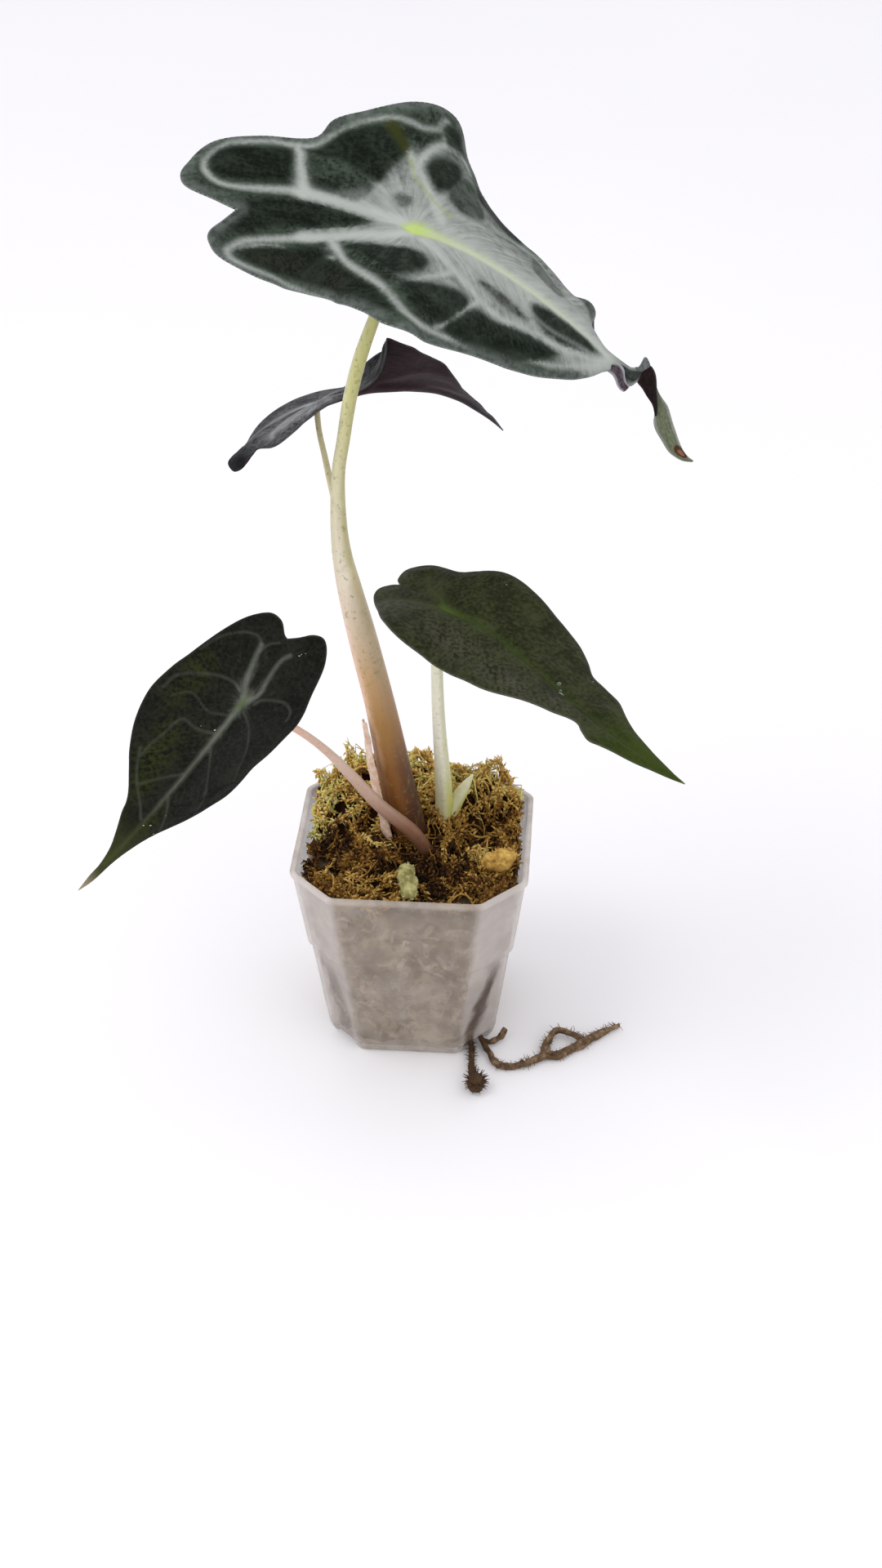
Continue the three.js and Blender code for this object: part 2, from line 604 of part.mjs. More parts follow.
// Loose pieces on the moss: rows are x, y, z, half thickness
const YELLOW_CHUNK = [
  [17.5, -9.5, 53.2, 1.2], [20, -9, 53.8, 2.4], [23, -8, 54, 2.6], [25.4, -6.4, 53.8, 1.4],
];
const PALE_SPRIG = [
  [0.6, -18.5, 55.2, 0.7], [-0.4, -21.5, 56, 1.3], [-0.2, -24.4, 55.8, 1.2], [0.2, -26.6, 54.6, 0.8],
];

// Dried scale leaf that stands against the foot of the stem
const CATAPHYLL = [
  [-5.2, -1, 49, 0.9], [-7.6, -1.4, 58, 1], [-9.5, -1.7, 68, 0.9], [-10.9, -1.7, 78, 0.8],
  [-11.8, -1.4, 86, 0.4],
];

// Finishes
function finish(color, roughness, options = {}) {
  return new THREE.MeshStandardMaterial({ color, roughness, metalness: 0, ...options });
}
const FINISHES = {
  clearPlastic: finish(0xcfc6c6, 0.25, { transparent: true, opacity: 0.6 }),
  moss: finish(0x7a5a26, 0.95),
  yellowMoss: finish(0xc79a3c, 0.9),
  paleMoss: finish(0xbfc07a, 0.9),
  darkLeaf: finish(0x2c332e, 0.45),
  stem: finish(0xc2b183, 0.5),
  paleStem: finish(0xb9bd8a, 0.5),
  pinkStem: finish(0xc9a48e, 0.5),
  dryScale: finish(0xc9ae90, 0.8),
  root: finish(0x5d4a38, 0.85),
  rhizome: finish(0x5a3d28, 0.85),
};

function meshOf(name, solid, material) {
  const { numProp, vertProperties, triVerts } = solid.getMesh();
  const count = vertProperties.length / numProp;
  const positions = new Float32Array(count * 3);
  for (let i = 0; i < count; i += 1) {
    positions.set(vertProperties.subarray(i * numProp, i * numProp + 3), i * 3);
  }
  const geometry = new THREE.BufferGeometry();
  geometry.setAttribute("position", new THREE.BufferAttribute(positions, 3));
  geometry.setIndex(new THREE.BufferAttribute(triVerts, 1));
  geometry.computeVertexNormals();
  const mesh = new THREE.Mesh(geometry, material);
  mesh.name = name;
  return mesh;
}

// Each petiole is cut to the blade that it carries, and the back one's foot stands in a hole in the sheath
function petioles() {
  const cut = (name) => largestOf(petiole(name).subtract(bladeRoom(name)));
  return {
    top: largestOf(cut("top").subtract(petiole("back", CLEARANCE))),
    back: cut("back"),
    left: cut("left"),
    right: cut("right"),
  };
}

const filling = moss();
const stems = petioles();
const stemRoom = petiole("top", CLEARANCE);

const group = new THREE.Group();
group.add(
  meshOf("pot", pot(), FINISHES.clearPlastic),
  meshOf("moss", filling, FINISHES.moss),
  meshOf("rhizome", rhizome(), FINISHES.rhizome),
  meshOf("root_short", shortRoot(), FINISHES.root),
  meshOf("root_trailing", trailingRoot(), FINISHES.root),
  meshOf("petiole_top", stems.top, FINISHES.stem),
  meshOf("petiole_back", stems.back, FINISHES.paleStem),
  meshOf("petiole_left", stems.left, FINISHES.pinkStem),
  meshOf("petiole_right", stems.right, FINISHES.paleStem),
  meshOf("cataphyll", largestOf(tube(CATAPHYLL, 8, 3).subtract(stemRoom)), FINISHES.dryScale),
  meshOf("moss_chunk", tube(YELLOW_CHUNK, 8, 2), FINISHES.yellowMoss),
  meshOf("moss_sprig", tube(PALE_SPRIG, 8, 2), FINISHES.paleMoss),
);
for (const [name, leaf] of Object.entries(LEAVES)) {
  group.add(meshOf(`blade_${name}`, blade(leaf), FINISHES.darkLeaf));
}

export default group;
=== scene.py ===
# Looks of a young potted alocasia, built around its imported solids. Lengths in the tables are millimetres.
import math
import random

import bpy
import numpy as np
from mathutils import Matrix, Vector, noise


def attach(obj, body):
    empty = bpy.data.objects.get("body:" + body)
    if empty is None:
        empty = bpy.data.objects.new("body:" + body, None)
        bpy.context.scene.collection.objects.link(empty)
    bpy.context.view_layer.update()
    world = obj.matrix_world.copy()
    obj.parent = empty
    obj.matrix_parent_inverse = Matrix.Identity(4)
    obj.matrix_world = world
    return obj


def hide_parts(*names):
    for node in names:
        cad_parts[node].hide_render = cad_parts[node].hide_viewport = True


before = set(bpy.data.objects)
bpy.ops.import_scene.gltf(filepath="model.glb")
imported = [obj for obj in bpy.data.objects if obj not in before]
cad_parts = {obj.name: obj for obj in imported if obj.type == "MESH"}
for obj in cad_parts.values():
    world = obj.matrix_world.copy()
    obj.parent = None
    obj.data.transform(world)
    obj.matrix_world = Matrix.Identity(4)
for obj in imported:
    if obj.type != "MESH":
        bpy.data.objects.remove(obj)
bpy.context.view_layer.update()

MM = 0.001

# Camera: place, focal length and directions that match the photograph
CAMERA_PLACE = (37.82, -444.71, 376.72)
CAMERA_LENS = 50
CAMERA_SENSOR = 36
CAMERA_AZIMUTH = 4
CAMERA_PITCH = 34.5

# Floor under the pot
FLOOR_REACH = 3000

# Pot
POT_HEIGHT = 55
RIM_WIDTH = 58
RIM_CHAMFER = 10.5
FOOT_WIDTH = 44
FOOT_CHAMFER = 9
WALL = 0.9
FOOT_ROUNDING = [[0, 1.6], [1.5, 0.8], [4, 0.2], [8, 0]]
FLOOR = 1.2
RIM_LIP = 0.5
STEP_HEIGHT = 31
STEP_DEPTH = 0.7
SLOT_WIDTH = 9
SLOT_HEIGHT = 3.2
CHAMFER_SHARE = 2 - math.sqrt(2)
CORNER_RADIUS = 3

# Points in a rounded corner, and steps along a straight side
CORNER_POINTS = 5
SIDE_STEPS = 6
# Heights of the rings of points up the outside
POT_LEVELS = [
    0, 0.35, 0.8, 1.5, 2.5, 4, 6, *range(8, 29, 4),
    30, 30.4, 30.8, 31.2, 31.6, 32.2, 34, *range(38, 51, 4), 52.6,
]

# Moss
MOSS_LEVEL = 51
MOSS_ROOM = 1.0
STRAND_STEPS = 8
# Turn from one small leaf to the next around a moss branch
LEAF_TURN = 2.4

# Leaves
BLADE_THICKNESS = 0.6
MIDRIB_DEPTH = 0.8
GROOVE_DEPTH = 0.5
RUFFLE_DEPTH = 0.35
# How far side veins lean ahead for each mm outwards, and the length of the grain along them
VEIN_LEAN = 1.2
GRAIN_LENGTH = 0.16
# Grain lanes to a radian behind the stem's end, and how far apart the grain of both halves lies
LANES = 9
HALVES_APART = 3
DRY_LEAF_THICKNESS = 0.3

# Roots
HAIR_FLOOR = 0.12
# The short root lies to the left of this x
SHORT_ROOT_SIDE = 21

# Distance that stands for far away, and how many places of a line are measured at once
FAR = 50.0
CHUNK = 64


# Curves and meshes
def along(table, places):
    """Smooth curve through the rows of a table whose first column is the place along it"""
    table = np.asarray(table, float)
    places = np.atleast_1d(np.asarray(places, float))
    keys, values = table[:, 0], table[:, 1:]
    order = np.arange(len(keys))
    before = np.maximum(order - 1, 0)
    after = np.minimum(order + 1, len(keys) - 1)
    slopes = (values[after] - values[before]) / (keys[after] - keys[before])[:, None]
    i = np.clip(np.searchsorted(keys, places) - 1, 0, len(keys) - 2)
    span = keys[i + 1] - keys[i]
    t = np.clip((places - keys[i]) / span, 0, 1)
    beyond = places - keys[i] - t * span
    t = t[:, None]
    span = span[:, None]
    curve = (
        (2 * t**3 - 3 * t**2 + 1) * values[i]
        + (t**3 - 2 * t**2 + t) * span * slopes[i]
        + (3 * t**2 - 2 * t**3) * values[i + 1]
        + (t**3 - t**2) * span * slopes[i + 1]
    )
    return curve + beyond[:, None] * np.where(t > 0.5, slopes[i + 1], slopes[i])


def through(rows, steps):
    """Smooth curve through rows, with this many steps between two rows"""
    rows = np.asarray(rows, float)
    table = np.column_stack([np.arange(len(rows)), rows])
    return along(table, np.linspace(0, len(rows) - 1, (len(rows) - 1) * steps + 1))


def unit(vectors):
    """Vectors of length one"""
    return vectors / np.maximum(np.linalg.norm(vectors, axis=-1, keepdims=True), 1e-12)


class Build:
    """Collects points, faces and values at the points, and makes one mesh object of them"""

    def __init__(self):
        self.points = []
        self.faces = []
        self.slots = []
        self.values = {}
        self.count = 0

    def add(self, points, faces, slot=0, **values):
        points = np.asarray(points, float)
        self.points.append(points)
        self.faces += [[corner + self.count for corner in face] for face in faces]
        self.slots += [slot] * len(faces)
        for name, value in values.items():
            value = np.broadcast_to(np.asarray(value, float), (len(points),) + np.shape(value)[1:])
            self.values.setdefault(name, []).append((self.count, value))
        self.count += len(points)

    def tube(self, places, radii, sides, slot=0, **values):
        points, faces = tube(places, radii, sides)
        self.add(points, faces, slot, **values)

    def object(self, name, materials, smooth=True):
        points = np.concatenate(self.points) * MM
        points[:, 2] = np.maximum(points[:, 2], 0)
        mesh = bpy.data.meshes.new(name)
        mesh.from_pydata(points.tolist(), [], self.faces)
        for material in materials:
            mesh.materials.append(material)
        mesh.polygons.foreach_set("material_index", self.slots)
        mesh.polygons.foreach_set("use_smooth", [smooth] * len(self.faces))
        for key, parts in self.values.items():
            value = np.zeros((len(points),) + parts[0][1].shape[1:])
            for start, part in parts:
                value[start:start + len(part)] = part
            kind = "FLOAT_VECTOR" if value.ndim == 2 else "FLOAT"
            layer = mesh.attributes.new(key, kind, "POINT")
            field = "vector" if value.ndim == 2 else "value"
            layer.data.foreach_set(field, value.ravel().astype(np.float32))
        mesh.validate()
        made = bpy.data.objects.new(name, mesh)
        bpy.context.scene.collection.objects.link(made)
        return made


def frames(places):
    """Directions ahead, across and third at each place of a route, carried along without twist"""
    places = np.asarray(places, float)
    ahead = np.empty_like(places)
    ahead[1:-1] = places[2:] - places[:-2]
    ahead[0] = places[1] - places[0]
    ahead[-1] = places[-1] - places[-2]
    ahead = unit(ahead)
    across = np.empty_like(places)
    current = np.array([0.31, 0.27, 0.91])
    for i, direction in enumerate(ahead):
        current = current - direction * (current @ direction)
        current = current / np.linalg.norm(current)
        across[i] = current
    return ahead, across, np.cross(ahead, across)


def turns(sides):
    return np.arange(sides) / sides * 2 * math.pi


def direction(turn, tilt=0.0):
    """Unit vector with this turn about the upright axis and this tilt above the level"""
    return np.array([math.cos(turn) * math.cos(tilt), math.sin(turn) * math.cos(tilt), math.sin(tilt)])


def ring_faces(rings, count, capped=True):
    """Faces between closed rings of points; each cap is a fan to a middle that follows the rings"""
    faces = []
    for ring in range(rings - 1):
        for side in range(count):
            a = ring * count + side
            b = ring * count + (side + 1) % count
            faces.append([a, b, b + count, a + count])
    if capped:
        last = (rings - 1) * count
        middle = rings * count
        for side in range(count):
            after = (side + 1) % count
            faces.append([after, side, middle])
            faces.append([last + side, last + after, middle + 1])
    return faces


def grid_faces(rows, columns):
    faces = []
    for row in range(rows - 1):
        for column in range(columns - 1):
            a = row * columns + column
            faces.append([a, a + columns, a + columns + 1, a + 1])
    return faces


def turned(faces):
    """The same faces, seen from their other side"""
    return [[face[0]] + face[:0:-1] for face in faces]


def tube(places, radii, sides):
    """Points and faces of a closed tube; radii is one row of radii, or one row for each place"""
    places = np.asarray(places, float)
    _, across, third = frames(places)
    angles = turns(sides)
    radii = np.asarray(radii, float)
    if radii.ndim == 1:
        radii = np.repeat(radii[:, None], sides, axis=1)
    wide = np.cos(angles)[None, :, None] * across[:, None, :]
    high = np.sin(angles)[None, :, None] * third[:, None, :]
    points = places[:, None, :] + (wide + high) * radii[:, :, None]
    points = np.vstack([points.reshape(-1, 3), places[0], places[-1]])
    return points, ring_faces(len(places), sides)


def smoothstep(value, low, high):
    t = np.clip((value - low) / (high - low), 0, 1)
    return t * t * (3 - 2 * t)


def noise_at(points, scale, seed):
    """Soft noise from -1 to 1 at each point"""
    shift = Vector((seed * 17.3, seed * 5.1, seed * 9.7))
    return np.array([noise.noise(Vector(point) * scale + shift) for point in points])


# Materials
def rgb(red, green, blue):
    """Linear colour of an sRGB colour given from 0 to 255"""
    def linear(value):
        value /= 255
        return value / 12.92 if value <= 0.04045 else ((value + 0.055) / 1.055) ** 2.4
    return (linear(red), linear(green), linear(blue), 1)


class Graph:
    """The nodes of one material; a colour of three numbers from 0 to 255 is an sRGB one"""

    def __init__(self, name):
        self.material = bpy.data.materials.new(name)
        self.material.use_nodes = True
        self.tree = self.material.node_tree
        self.tree.nodes.clear()

    def put(self, socket, value):
        if isinstance(value, bpy.types.NodeSocket):
            self.tree.links.new(value, socket)
        elif socket.type == "RGBA" and len(value) == 3:
            socket.default_value = rgb(*value)
        else:
            socket.default_value = value

    def node(self, kind, settings=None, **inputs):
        made = self.tree.nodes.new(kind)
        for key, value in (settings or {}).items():
            setattr(made, key, value)
        for key, value in inputs.items():
            self.put(made.inputs[key.replace("_", " ")], value)
        return made

    def attribute(self, name, output="Fac"):
        return self.node("ShaderNodeAttribute", {"attribute_name": name}).outputs[output]

    def math(self, operation, *values, clamp=False):
        made = self.node("ShaderNodeMath", {"operation": operation, "use_clamp": clamp})
        for socket, value in zip(made.inputs, values):
            self.put(socket, value)
        return made.outputs[0]

    def add(self, first, second):
        return self.math("ADD", first, second)

    def less(self, first, second):
        return self.math("SUBTRACT", first, second)

    def times(self, first, second):
        return self.math("MULTIPLY", first, second)

    def mix(self, share, first, second, blend="MIX"):
        made = self.node("ShaderNodeMix", {"data_type": "RGBA", "blend_type": blend})
        self.put(made.inputs["Factor"], share)
        self.put(made.inputs[6], first)
        self.put(made.inputs[7], second)
        return made.outputs[2]

    def map_range(self, settings, **inputs):
        return self.node("ShaderNodeMapRange", settings, **inputs).outputs[0]

    def fade(self, value, low, high, start=0.0, end=1.0):
        """Soft change from start at low to end at high"""
        soft = {"interpolation_type": "SMOOTHSTEP"}
        return self.map_range(soft, Value=value, From_Min=low, From_Max=high, To_Min=start, To_Max=end)

    def line(self, value, low, high):
        """Share that runs evenly from 0 at low to 1 at high"""
        return self.map_range(None, Value=value, From_Min=low, From_Max=high)

    def either(self, *shares):
        """Share covered by any of several layers"""
        left = 1.0
        for share in shares:
            left = self.times(left, self.less(1.0, share))
        return self.less(1.0, left)

    def around(self, value, gain):
        """Noise turned into a push either way"""
        return self.times(self.less(value, 0.5), gain)

    def noise(self, scale, vector, detail=3.0, roughness=0.55, distortion=0.0):
        settings = dict(Scale=scale, Detail=detail, Roughness=roughness, Distortion=distortion)
        return self.node("ShaderNodeTexNoise", Vector=vector, **settings).outputs["Fac"]

    def stretch(self, vector, scale):
        return self.node("ShaderNodeMapping", Vector=vector, Scale=scale).outputs["Vector"]

    def axis(self, vector, number):
        return self.node("ShaderNodeSeparateXYZ", Vector=vector).outputs[number]

    def place(self):
        return self.node("ShaderNodeTexCoord").outputs["Object"]

    def ramp(self, value, stops):
        """Colours at stops; each stop is its position from 0 to 1, then red, green and blue"""
        made = self.node("ShaderNodeValToRGB")
        elements = made.color_ramp.elements
        while len(elements) < len(stops):
            elements.new(0.5)
        for element, (position, *color) in zip(elements, stops):
            element.position = position
            element.color = rgb(*color)
        self.put(made.inputs["Fac"], value)
        return made.outputs["Color"]

    def bump(self, height, strength, distance):
        made = self.node("ShaderNodeBump", Height=height, Strength=strength, Distance=distance)
        return made.outputs["Normal"]

    def finish(self, color, roughness, normal=None, settings=None):
        shader = self.node("ShaderNodeBsdfPrincipled", Roughness=roughness)
        self.put(shader.inputs["Base Color"], color)
        if normal is not None:
            self.put(shader.inputs["Normal"], normal)
        for key, value in (settings or {}).items():
            self.put(shader.inputs[key], value)
        self.node("ShaderNodeOutputMaterial", Surface=shader.outputs[0])
        return self.material


# Leaves
TOP_LEAF = {
    # place along the leaf, x, y, z, roll, then fold and curl of the left and of the right half
    "stations": [
        [-45, -42, -5.6, 218.3, 16, -5, 0.6, 1, -0.5],
        [-30, -28.8, 1.3, 214.8, 29, -1, 0.8, -1, 0.8],
        [-15, -14.6, 3.8, 212.8, 33, 4, 0.7, 1, 1.2],
        [0, 0.4, 2.6, 211.6, 27, 9, 0, 10, 0],
        [10, 9.8, 3, 208.1, 23, 0, -0.9, 2, -0.3],
        [20, 18.6, 3.1, 203.4, 20, -13, -0.9, -6, -0.2],
        [32, 28.7, 2.1, 196.9, 19, -18, 0, -14, 0],
        [44, 38, 1.7, 189.4, 20, -14, 0.1, -16, -0.1],
        [50, 42.9, 2, 184.2, 24, -8, 0, -22, 0],
        [54, 46.6, 2, 181, 35, 0, 0, -12, 0],
        [58, 50, 1.8, 179.4, 62, 0, 0, 0, 0],
        [60.5, 51.4, 1.5, 177.3, 60, 0, 0, 75, 0],
        [82.5, 63.2, 0.3, 160.6, 60, -10, 0, 100, 0],
    ],
    # outline of each half in the flat leaf: place along it and distance from the midrib
    "left": [
        [-38.5, 0], [-41.5, 2], [-47, 6], [-48, 10], [-46, 14], [-39.5, 19], [-31, 19.7], [-22, 19.2],
        [-18.5, 23.5], [-13, 26.2], [-6, 29.7], [1, 32], [5.5, 33], [8.5, 28.5], [12, 24.5], [17, 26],
        [24, 25.5], [31, 21], [36, 16], [39.5, 13.6], [41.3, 14.8], [43.2, 15.8], [45, 14.8], [45.9, 12],
        [45.6, 8.5], [45.4, 6], [46.4, 4.2], [47.6, 2.9], [49.5, 1.9], [53, 1.8], [56, 1.2], [57.5, 0],
    ],
    "right": [
        [-38.5, 0], [-42, 3.2], [-46.5, 8], [-47.5, 12], [-46, 15.5], [-40, 18.6], [-33, 20.2],
        [-22, 22], [-11, 25.3], [-4.5, 28.6], [0, 32.4], [5, 31.6], [12, 29.4], [21, 26], [30, 22.1],
        [38, 18.4], [44, 13.8], [46.5, 11.3], [48.5, 8.4], [50, 5.8], [51.2, 3.2], [52.2, 1.6],
        [54.5, 1.2], [57.5, 0],
    ],
    # lines of the pale veins: half width at the start and at the end, then places
    "vein": [
        (0.85, 0.65, [
            [-1, 0.6], [-6.5, 1.8], [-11.8, 3], [-18.8, 4.8], [-23.9, 5.8], [-28.8, 6.1], [-33.6, 6.1],
        ]),
        (0.55, 0.3, [
            [-33.6, 6.1], [-37.6, 6.5], [-40.7, 8.1], [-42.1, 10.7], [-42.1, 12.9], [-40.9, 14.8],
            [-38.9, 16.5], [-36.3, 17.8], [-33.5, 18.2], [-29.7, 18.2], [-26.9, 17.6],
        ]),
        (0.35, 0.25, [
            [-26.9, 17.6], [-24.3, 17], [-21.7, 17.2], [-20, 18.3], [-17.4, 20.5], [-14, 23],
            [-10.7, 24.6], [-7.9, 25.3], [-5.2, 25.1], [-2.3, 24.7], [0.7, 26.2],
        ]),
        (1.0, 0.8, [[-23.5, 5.4], [-23.7, 9], [-24.1, 12.4], [-24.5, 16.8]]),
        (0.9, 0.6, [[5.5, 4.6], [1.6, 10.2], [-2.7, 15.9], [-4.6, 18.4]]),
        (0.7, 0.4, [
            [-2.2, 13.5], [-1.5, 17.1], [0.1, 20.4], [2.3, 23.3], [5.2, 25.4], [7.6, 25.8], [9.2, 24.3],
        ]),
        (0.45, 0.35, [[2.3, 23.1], [2.2, 25.8], [1, 26.8], [1.6, 29.3]]),
        (0.75, 0.75, [
            [-0.5, -2.1], [-5.3, -3.7], [-10.7, -4], [-18.1, -5.3], [-25.9, -6.5], [-34.5, -7.9],
        ]),
        (0.6, 0.25, [
            [-34.5, -7.9], [-39, -9.2], [-42.3, -11.4], [-44.1, -13.4], [-43.5, -15.6], [-39, -17.2],
            [-33, -18.6], [-24, -21.4], [-14, -24.8],
        ]),
        (0.75, 0.4, [
            [-17.1, -6], [-15.6, -8.1], [-12.9, -11.5], [-8.7, -14.7], [-4.6, -18.1], [-1.5, -22],
            [0.4, -25.2], [2.3, -27.4], [4.9, -28.1], [8.9, -27.1], [13.9, -25.9], [21.1, -23.6],
            [28.5, -19.9], [34.5, -16.4], [41.8, -12], [47, -6.7], [50.5, -1.9],
        ]),
        (0.6, 0.45, [
            [2.8, -3.3], [8.4, -6.3], [14, -9.1], [19.7, -11.5], [25.5, -11.9], [31.4, -10.4],
            [37.5, -8.6], [43.3, -6], [50, -1.7],
        ]),
        (0.4, 0.45, [[18.8, -12.6], [15.9, -17], [12.6, -22.3], [10.5, -25.6]]),
        (0.3, 0.2, [[9.8, -9.6], [5.5, -13.5], [2.2, -17.2]]),
        (0.25, 0.15, [[-16.1, -10.9], [-19.3, -12.1], [-21.9, -14.4], [-24, -16.8]]),
        (0.3, 0.2, [[-41, -11.6], [-36, -9.6], [-31, -9.2], [-27, -9.8]]),
    ],
    # fainter lines of the same kind
    "faint": [
        (0.35, 0.2, [[19.9, -4.9], [25.1, -4], [30.8, -5.4], [36.5, -5.8], [43.5, -4.1], [49.9, -1.6]]),
        (0.5, 0.3, [
            [9.1, 6], [12.2, 9.1], [16.4, 13.2], [20.4, 18], [24.5, 20.2], [28.5, 18.2], [32.7, 14],
            [37.5, 9.6], [41.8, 8], [46.2, 5],
        ]),
        (0.2, 0.1, [[4, -2], [12, -3.4], [19.9, -4.9]]),
    ],
    # green-gold vein of the far half
    "gold": [
        (0.35, 0.25, [[7.4, 6.5], [3.9, 7.8], [1.8, 9.2], [-0.4, 10.9], [-2.3, 12.9], [-3.7, 16.5]]),
    ],
    "olive": [(1.0, 1.5, [[-3.3, 15.8], [-4.9, 18.6], [-7, 21.2], [-8.6, 23.9]])],
    # silver haze: place, reach along and across, strength
    "haze": [(-24, 12, 2.2, 7, 0.4), (-16, -8, 3, 2.6, 0.6), (6, 23.5, 3, 2.5, 0.5), (50, 1, 5, 4, 0.9)],
    # outline of the wide silver glow around the stem's end and the midrib
    "glow": [
        [-24.5, 9], [-18, 6.5], [-10, 9], [-7, 13.5], [-5, 17.5], [-2, 20], [5, 24], [10, 23],
        [17, 24.5], [25.5, 30], [40, 16], [47.5, 8], [54, 2], [54, -3], [43, -10.5], [34, -12],
        [26.5, -15], [13, -20], [1.5, -19], [-1, -16.5], [-12, -6.5], [-23.5, -7.5], [-25, -4.5],
        [-8.5, -0.5], [-24.5, 4],
    ],
    # dark cells: how firmly they stand out, and their outline
    "cells": [
        (1.5, [
            [-41, 14], [-39, 16.5], [-35.5, 18], [-32, 17.5], [-27.5, 17], [-25.5, 15.5], [-26, 11],
            [-27.5, 8], [-32, 7.5], [-37.5, 8.5], [-40.5, 10],
        ]),
        (1.5, [
            [-23.5, 16.5], [-21, 16.5], [-18, 20], [-14, 22.5], [-10, 23.5], [-7, 23.5], [-4, 19],
            [-5.5, 16], [-7, 13.5], [-8, 10.5], [-9.5, 9.5], [-14.5, 12], [-20, 14], [-23, 15.5],
        ]),
        (0.2, [
            [-23, 14.5], [-20, 13], [-15, 11], [-10, 8.5], [-10.5, 6.5], [-13.5, 5], [-19.5, 6.5],
            [-22, 7.5], [-23, 11],
        ]),
        (1.1, [
            [0, 17], [1.5, 19.5], [4, 21], [6.5, 21.5], [7.5, 19], [6.5, 14.5], [5, 12], [3, 11],
            [1.5, 12.5], [0, 15],
        ]),
        (0.4, [
            [5.5, 12], [6, 16], [7.5, 19.5], [10, 21], [12, 17.5], [14, 14], [12, 11], [9, 9.5],
            [6.5, 10],
        ]),
        (0.8, [[1, 28], [3.5, 30], [5.5, 30.5], [7, 29], [6, 25.5], [3.5, 24], [1.5, 25.5]]),
        (0.5, [[22, 27.5], [23.5, 24], [26, 21.5], [27.5, 22], [24, 28]]),
        (0.1, [[27, 17.8], [32, 13.7], [36.7, 10], [35, 6], [30.4, 7.6], [27.3, 10.4]]),
        (0.6, [[40.5, 14.5], [43, 15.8], [45.5, 15], [46.3, 11], [45.6, 7.5], [44.2, 9], [42.5, 11.5]]),
        (1.1, [
            [9.5, 29], [10.2, 21], [12.5, 18], [16, 18.8], [20, 19.8], [23.5, 22], [24, 29], [14, 30],
        ]),
        (1.5, [
            [-39, -1], [-35, 3], [-30.5, 4], [-24.5, 3.5], [-18, 2.5], [-12, 1], [-9, -0.5], [-12, -1.5],
            [-19, -3], [-27, -4], [-35.5, -6], [-43, -8], [-46, -8.5], [-43.5, -4],
        ]),
        (1.5, [
            [-42, -13], [-35.5, -10], [-27, -8.5], [-21, -8], [-17.5, -10.5], [-13, -13.5], [-6, -18.5],
            [-1.5, -23], [0.5, -27], [0, -29], [-3.5, -28], [-12.5, -23.5], [-24, -19.5], [-33.5, -17],
            [-39.5, -15.5],
        ]),
        (1.3, [
            [-14, -7.5], [-9, -6.5], [-3, -7.5], [2, -7.5], [4.5, -9], [4.5, -11.5], [1.5, -15.5],
            [-1.5, -16.5], [-5.5, -13], [-11.5, -9],
        ]),
        (1.1, [
            [0.5, -18.5], [2.5, -16.5], [7.5, -14.5], [13, -13], [16.5, -13.5], [16, -17], [12, -23.5],
            [7, -25], [3, -25], [1, -22],
        ]),
        (1.1, [
            [12.5, -24], [15, -19.5], [18.5, -14.5], [25, -13.5], [32, -10.5], [37, -9.5], [41, -9.5],
            [38.5, -13.5], [33.5, -19], [27, -22.5], [18, -25],
        ]),
        (0.5, [
            [17.1, -7.4], [19.5, -6.4], [23.7, -6.4], [28.1, -7.1], [31, -7.8], [26.3, -8.8],
            [21.6, -8.4],
        ]),
        (1.1, [
            [30.5, -3.5], [34, -1.8], [39.5, -1.2], [45, -0.6], [49, -0.6], [47, -3], [41.5, -6.5],
            [36, -7.5], [32, -6],
        ]),
        (0.2, [[-5, 7], [-2, 7], [-1.5, 5.5], [-3, 4.5], [-4.5, 5.5]]),
    ],
    # spots, told as the haze is: real mottle on some leaves, painted light on others
    "mottle_and_painted_light": [(24, -7.6, 7, 1.5, 0.8), (-30, -14, 9, 3.5, 0.3), (-16, -18, 8, 4, 0.3)],
    # half width of the midrib along the leaf
    "rib_width": [
        [-1.5, 0.1], [0, 1.1], [3, 1], [6, 0.65], [20, 0.5], [40, 0.3], [52, 0.15], [57.5, 0.1],
    ],
    "rows": 300,
    "columns": 56,
    "quilt": 0.55,
}
